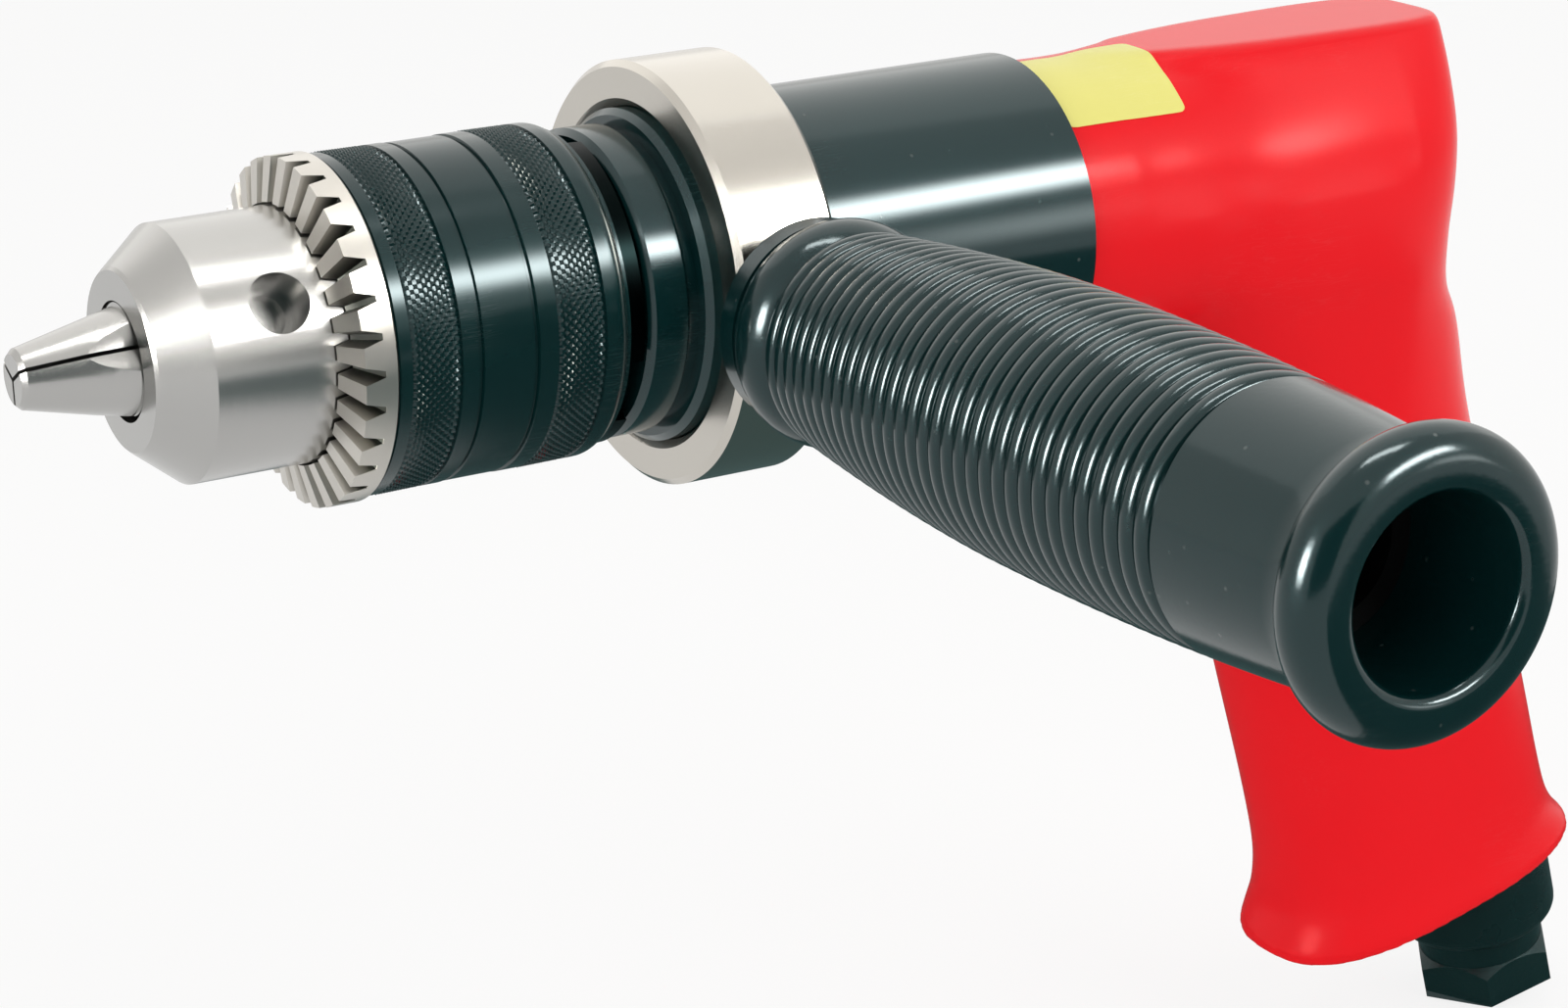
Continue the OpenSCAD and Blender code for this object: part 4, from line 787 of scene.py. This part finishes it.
for down, front, back, width, *shape in GRIP_ROWS:
    offset, drop = (front - back) / 2 * GRIP_HALF_D, down * GRIP_L
    x = GRIP_X + offset * math.cos(RAKE) - drop * math.sin(RAKE)
    z = -offset * math.sin(RAKE) - drop * math.cos(RAKE)
    slices.append(Vector((x, z, RAKE, (front + back) / 2 * GRIP_HALF_D, width * GRIP_HALF_W, *shape)))
print("housing rows:", len(slices))


# %% Housing loft
def between(rows, i, k):
    """The Catmull-Rom curve through the rows, at row i plus k."""
    a, b, c, d = (rows[min(max(j, 0), len(rows) - 1)] for j in (i - 1, i, i + 1, i + 2))
    square, cube = a - b * 2.5 + c * 2 - d * 0.5, (b - c) * 1.5 + (d - a) * 0.5
    return b + (c - a) * (k / 2) + square * k**2 + cube * k**3


def add_slice(bm, row, sides):
    """A ring of vertices bent to the superellipse of one row; returns its edges."""
    x, z, tilt, half_depth, half_width, square_front, square_rear, taper = row
    ring = bmesh.ops.create_circle(bm, segments=sides, radius=1.0)["verts"]
    for vert in ring:
        turn = math.atan2(vert.co.y, vert.co.x)
        square = square_front if math.cos(turn) > 0 else square_rear
        along, across = (math.copysign(abs(v) ** (2 / square), v) for v in (math.cos(turn), math.sin(turn)))
        u = half_depth * along
        vert.co = (x + u * math.cos(tilt), half_width * across * (1 - taper * along), z - u * math.sin(tilt))
    return list({edge for vert in ring for edge in vert.link_edges})


STEPS, SIDES = 8, 96
bm = bmesh.new()
rows = [between(slices, i, j / STEPS) for i in range(len(slices) - 1) for j in range(STEPS)] + [slices[-1]]
rings = [add_slice(bm, row, SIDES) for row in rows]
for first, second in zip(rings, rings[1:]):
    bmesh.ops.bridge_loops(bm, edges=first + second)
bmesh.ops.holes_fill(bm, edges=rings[0] + rings[-1], sides=0)
bmesh.ops.recalc_face_normals(bm, faces=bm.faces)
print("loft slices:", len(rings), "faces:", len(bm.faces))

# %% [markdown]
# The collar is a cylinder that fades into the front of the loft. Where the two meet the casting has a soft
# fillet, which is hard to bevel along such a shallow crease. A voxel remesh fuses both into one skin of
# even small squares, and smoothing the points near the crease draws the fillet. The bores are cut
# afterwards, so they stay sharp.

# %% Fused skin
COLLAR_L = 20 * MM
FADE_L, FADE = BODY_L / 2 - COLLAR_L, 1.6 * MM
turn_x = Matrix.Rotation(math.radians(90), 4, "Y")
collar = (COLLAR_L / 2, COLLAR_L, COLLAR_R)
fading = (COLLAR_L + FADE_L / 2, FADE_L, COLLAR_R - FADE)
for middle, length, rear_r in (collar, fading):
    bmesh.ops.create_cone(
        bm, cap_ends=True, segments=192, radius1=rear_r, radius2=COLLAR_R, depth=length,
        matrix=Matrix.Translation((COLLAR_X - middle, 0, 0)) @ turn_x,
    )
bmesh.ops.recalc_face_normals(bm, faces=bm.faces)
VOXEL = 0.65 * MM


def settled(bm, name, modifiers):
    """The bmesh as a mesh with modifiers applied: each is (type, {setting: value})."""
    mesh = bpy.data.meshes.new(name)
    bm.to_mesh(mesh)
    bm.free()
    carrier = bpy.data.objects.new(name, mesh)
    scene.collection.objects.link(carrier)
    for kind, settings in modifiers:
        modifier = carrier.modifiers.new(kind.lower(), kind)
        for setting, value in settings.items():
            setattr(modifier, setting, value)
    bpy.context.view_layer.update()
    done = bpy.data.meshes.new_from_object(carrier.evaluated_get(bpy.context.evaluated_depsgraph_get()))
    bpy.data.objects.remove(carrier)
    result = bmesh.new()
    result.from_mesh(done)
    return result


bm = settled(bm, "housing_draft", [("REMESH", {"mode": "VOXEL", "voxel_size": VOXEL})])
print("skin faces:", len(bm.faces))

# %% Fillet between collar and body
def eased(bm, points, times):
    """Draws points towards their neighbours, over and over, so that a crease becomes a fillet."""
    for _ in range(times):
        bmesh.ops.smooth_vert(bm, verts=points, factor=0.5, use_axis_x=True, use_axis_y=True, use_axis_z=True)


SHOULDER_X, SHOULDER_Z, SHOULDER_Y = (COLLAR_X - 54 * MM, COLLAR_X - 9 * MM), (0.5 * MM, 16.5 * MM), 7 * MM
CREASE_X, CREASE_NEAR, RIM_X = (COLLAR_X - 44 * MM, COLLAR_X - 6 * MM), 0.9 * MM, COLLAR_X - 1.2 * MM
shoulders = [
    v for v in bm.verts
    if SHOULDER_X[0] < v.co.x < SHOULDER_X[1] and SHOULDER_Z[0] < v.co.z < SHOULDER_Z[1]
    and abs(v.co.y) > SHOULDER_Y
]
crease = [
    v for v in bm.verts
    if CREASE_X[0] < v.co.x < CREASE_X[1]
    and abs(math.hypot(v.co.y, v.co.z) - COLLAR_R) < CREASE_NEAR and v.co.z > -COLLAR_R
]
CREASE_TIMES, SHOULDER_TIMES, SKIN_TIMES = 24, 160, 3
eased(bm, crease, CREASE_TIMES)
eased(bm, shoulders, SHOULDER_TIMES)
eased(bm, [v for v in bm.verts if v.co.x < RIM_X], SKIN_TIMES)
print("fillet points:", len(crease), "shoulder points:", len(shoulders))


# %% Bores of the housing
def in_grip(v, t):
    """A point of the grip's own frame: v forward of its axis, t down along it."""
    x = GRIP_X + v * math.cos(RAKE) - t * math.sin(RAKE)
    return Vector((x, 0, -v * math.sin(RAKE) - t * math.cos(RAKE)))


def cutter(start, stop, radius):
    """A cylinder between two points, as an object that a Boolean modifier can take away."""
    bore = bmesh.new()
    span = stop - start
    place = Matrix.Translation((start + stop) / 2) @ span.to_track_quat("Z", "Y").to_matrix().to_4x4()
    bmesh.ops.create_cone(
        bore, cap_ends=True, segments=96, radius1=radius, radius2=radius, depth=span.length, matrix=place
    )
    mesh = bpy.data.meshes.new("cutter")
    bore.to_mesh(mesh)
    bore.free()
    tool = bpy.data.objects.new("cutter", mesh)
    scene.collection.objects.link(tool)
    return tool


PAST = 2 * MM  # how far a cutter runs out of the casting
MOTOR_END, MOTOR_R = COLLAR_X - 38.8 * MM, 17 * MM
VALVE_DROP, VALVE_FRONT, VALVE_END, VALVE_R = 32 * MM, 46 * MM, -13 * MM, 6.5 * MM
INLET_V, INLET_L, INLET_R = -10.55 * MM, 21 * MM, 7.92 * MM
EXHAUST_V, SEAT_L, SEAT_R, EXHAUST_TOP, EXHAUST_R = 12.6 * MM, 3 * MM, 10.48 * MM, 44 * MM, 6.5 * MM
bores = [
    cutter(Vector((COLLAR_X + PAST, 0, 0)), Vector((MOTOR_END, 0, 0)), MOTOR_R),
    cutter(in_grip(VALVE_FRONT, VALVE_DROP), in_grip(VALVE_END, VALVE_DROP), VALVE_R),
    cutter(in_grip(INLET_V, GRIP_L + PAST), in_grip(INLET_V, GRIP_L - INLET_L), INLET_R),
    cutter(in_grip(EXHAUST_V, GRIP_L + PAST), in_grip(EXHAUST_V, GRIP_L - SEAT_L), SEAT_R),
    cutter(in_grip(EXHAUST_V, GRIP_L), in_grip(EXHAUST_V, EXHAUST_TOP), EXHAUST_R),
]
cuts = [("BOOLEAN", {"operation": "DIFFERENCE", "solver": "MANIFOLD", "object": tool}) for tool in bores]
bm = settled(bm, "housing_cut", cuts)
for tool in bores:
    bpy.data.objects.remove(tool)
housing = make_piece("housing_shell", bm, "housing", "red_paint", ["motor_housing"], sharp=50)

# %% [markdown]
# ## The label
# A thin film label is stuck on the collar, beside the flat top. It is a small grid with rounded corners,
# bent round the collar and laid on the casting by casting a ray from each point towards the axis.

# %% Label
LABEL_X, LABEL_L, LABEL_FROM, LABEL_TO = COLLAR_X - 0.6 * MM, 18.5 * MM, math.radians(44.5), math.radians(92)
skin = BVHTree.FromObject(housing, bpy.context.evaluated_depsgraph_get())
CORNER, LABEL_LIFT, LABEL_THICK, RAY_FROM = 0.12, 0.08 * MM, 0.06 * MM, 0.05
bm = bmesh.new()
bmesh.ops.create_grid(bm, x_segments=28, y_segments=24, size=1.0)
for vert in list(bm.verts):
    sx, sy = vert.co.x, vert.co.y
    over = Vector((max(0, abs(sx) - 1 + CORNER), max(0, abs(sy) - 1 + CORNER)))
    if over.length > CORNER:
        over *= CORNER / over.length
        sx = math.copysign(1 - CORNER + over.x, sx)
        sy = math.copysign(1 - CORNER + over.y, sy)
    x = LABEL_X - (sx + 1) / 2 * LABEL_L
    turn = LABEL_FROM + (sy + 1) / 2 * (LABEL_TO - LABEL_FROM)
    out = Vector((0, math.cos(turn), math.sin(turn)))
    hit = skin.ray_cast(Vector((x, 0, 0)) + out * RAY_FROM, -out)[0]
    vert.co = (hit if hit else Vector((x, 0, 0)) + out * COLLAR_R) + out * LABEL_LIFT
bmesh.ops.recalc_face_normals(bm, faces=bm.faces)
bmesh.ops.solidify(bm, geom=bm.faces, thickness=LABEL_THICK)
make_piece("label_film", bm, "housing", "label", sharp=60)

# %% [markdown]
# ## The valve spring
# A coil spring behind the valve pushes the trigger out. Its inner end stands on the floor of its bore, and
# its coils close up as the trigger goes in. A rigid coil that rides on the trigger would run into that
# floor, so a merged copy of it stays with the housing.

# %% Valve spring
bm = bmesh.new()
bm.from_mesh(nodes["valve_spring"].data)
coil = make_piece("coil_spring", bm, "housing", slot_of["valve_spring"], ["valve_spring"])
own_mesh(coil)

# %% [markdown]
# ## The last update
# The view layer is brought up to date at the end.

# %% Update
bpy.context.view_layer.update()
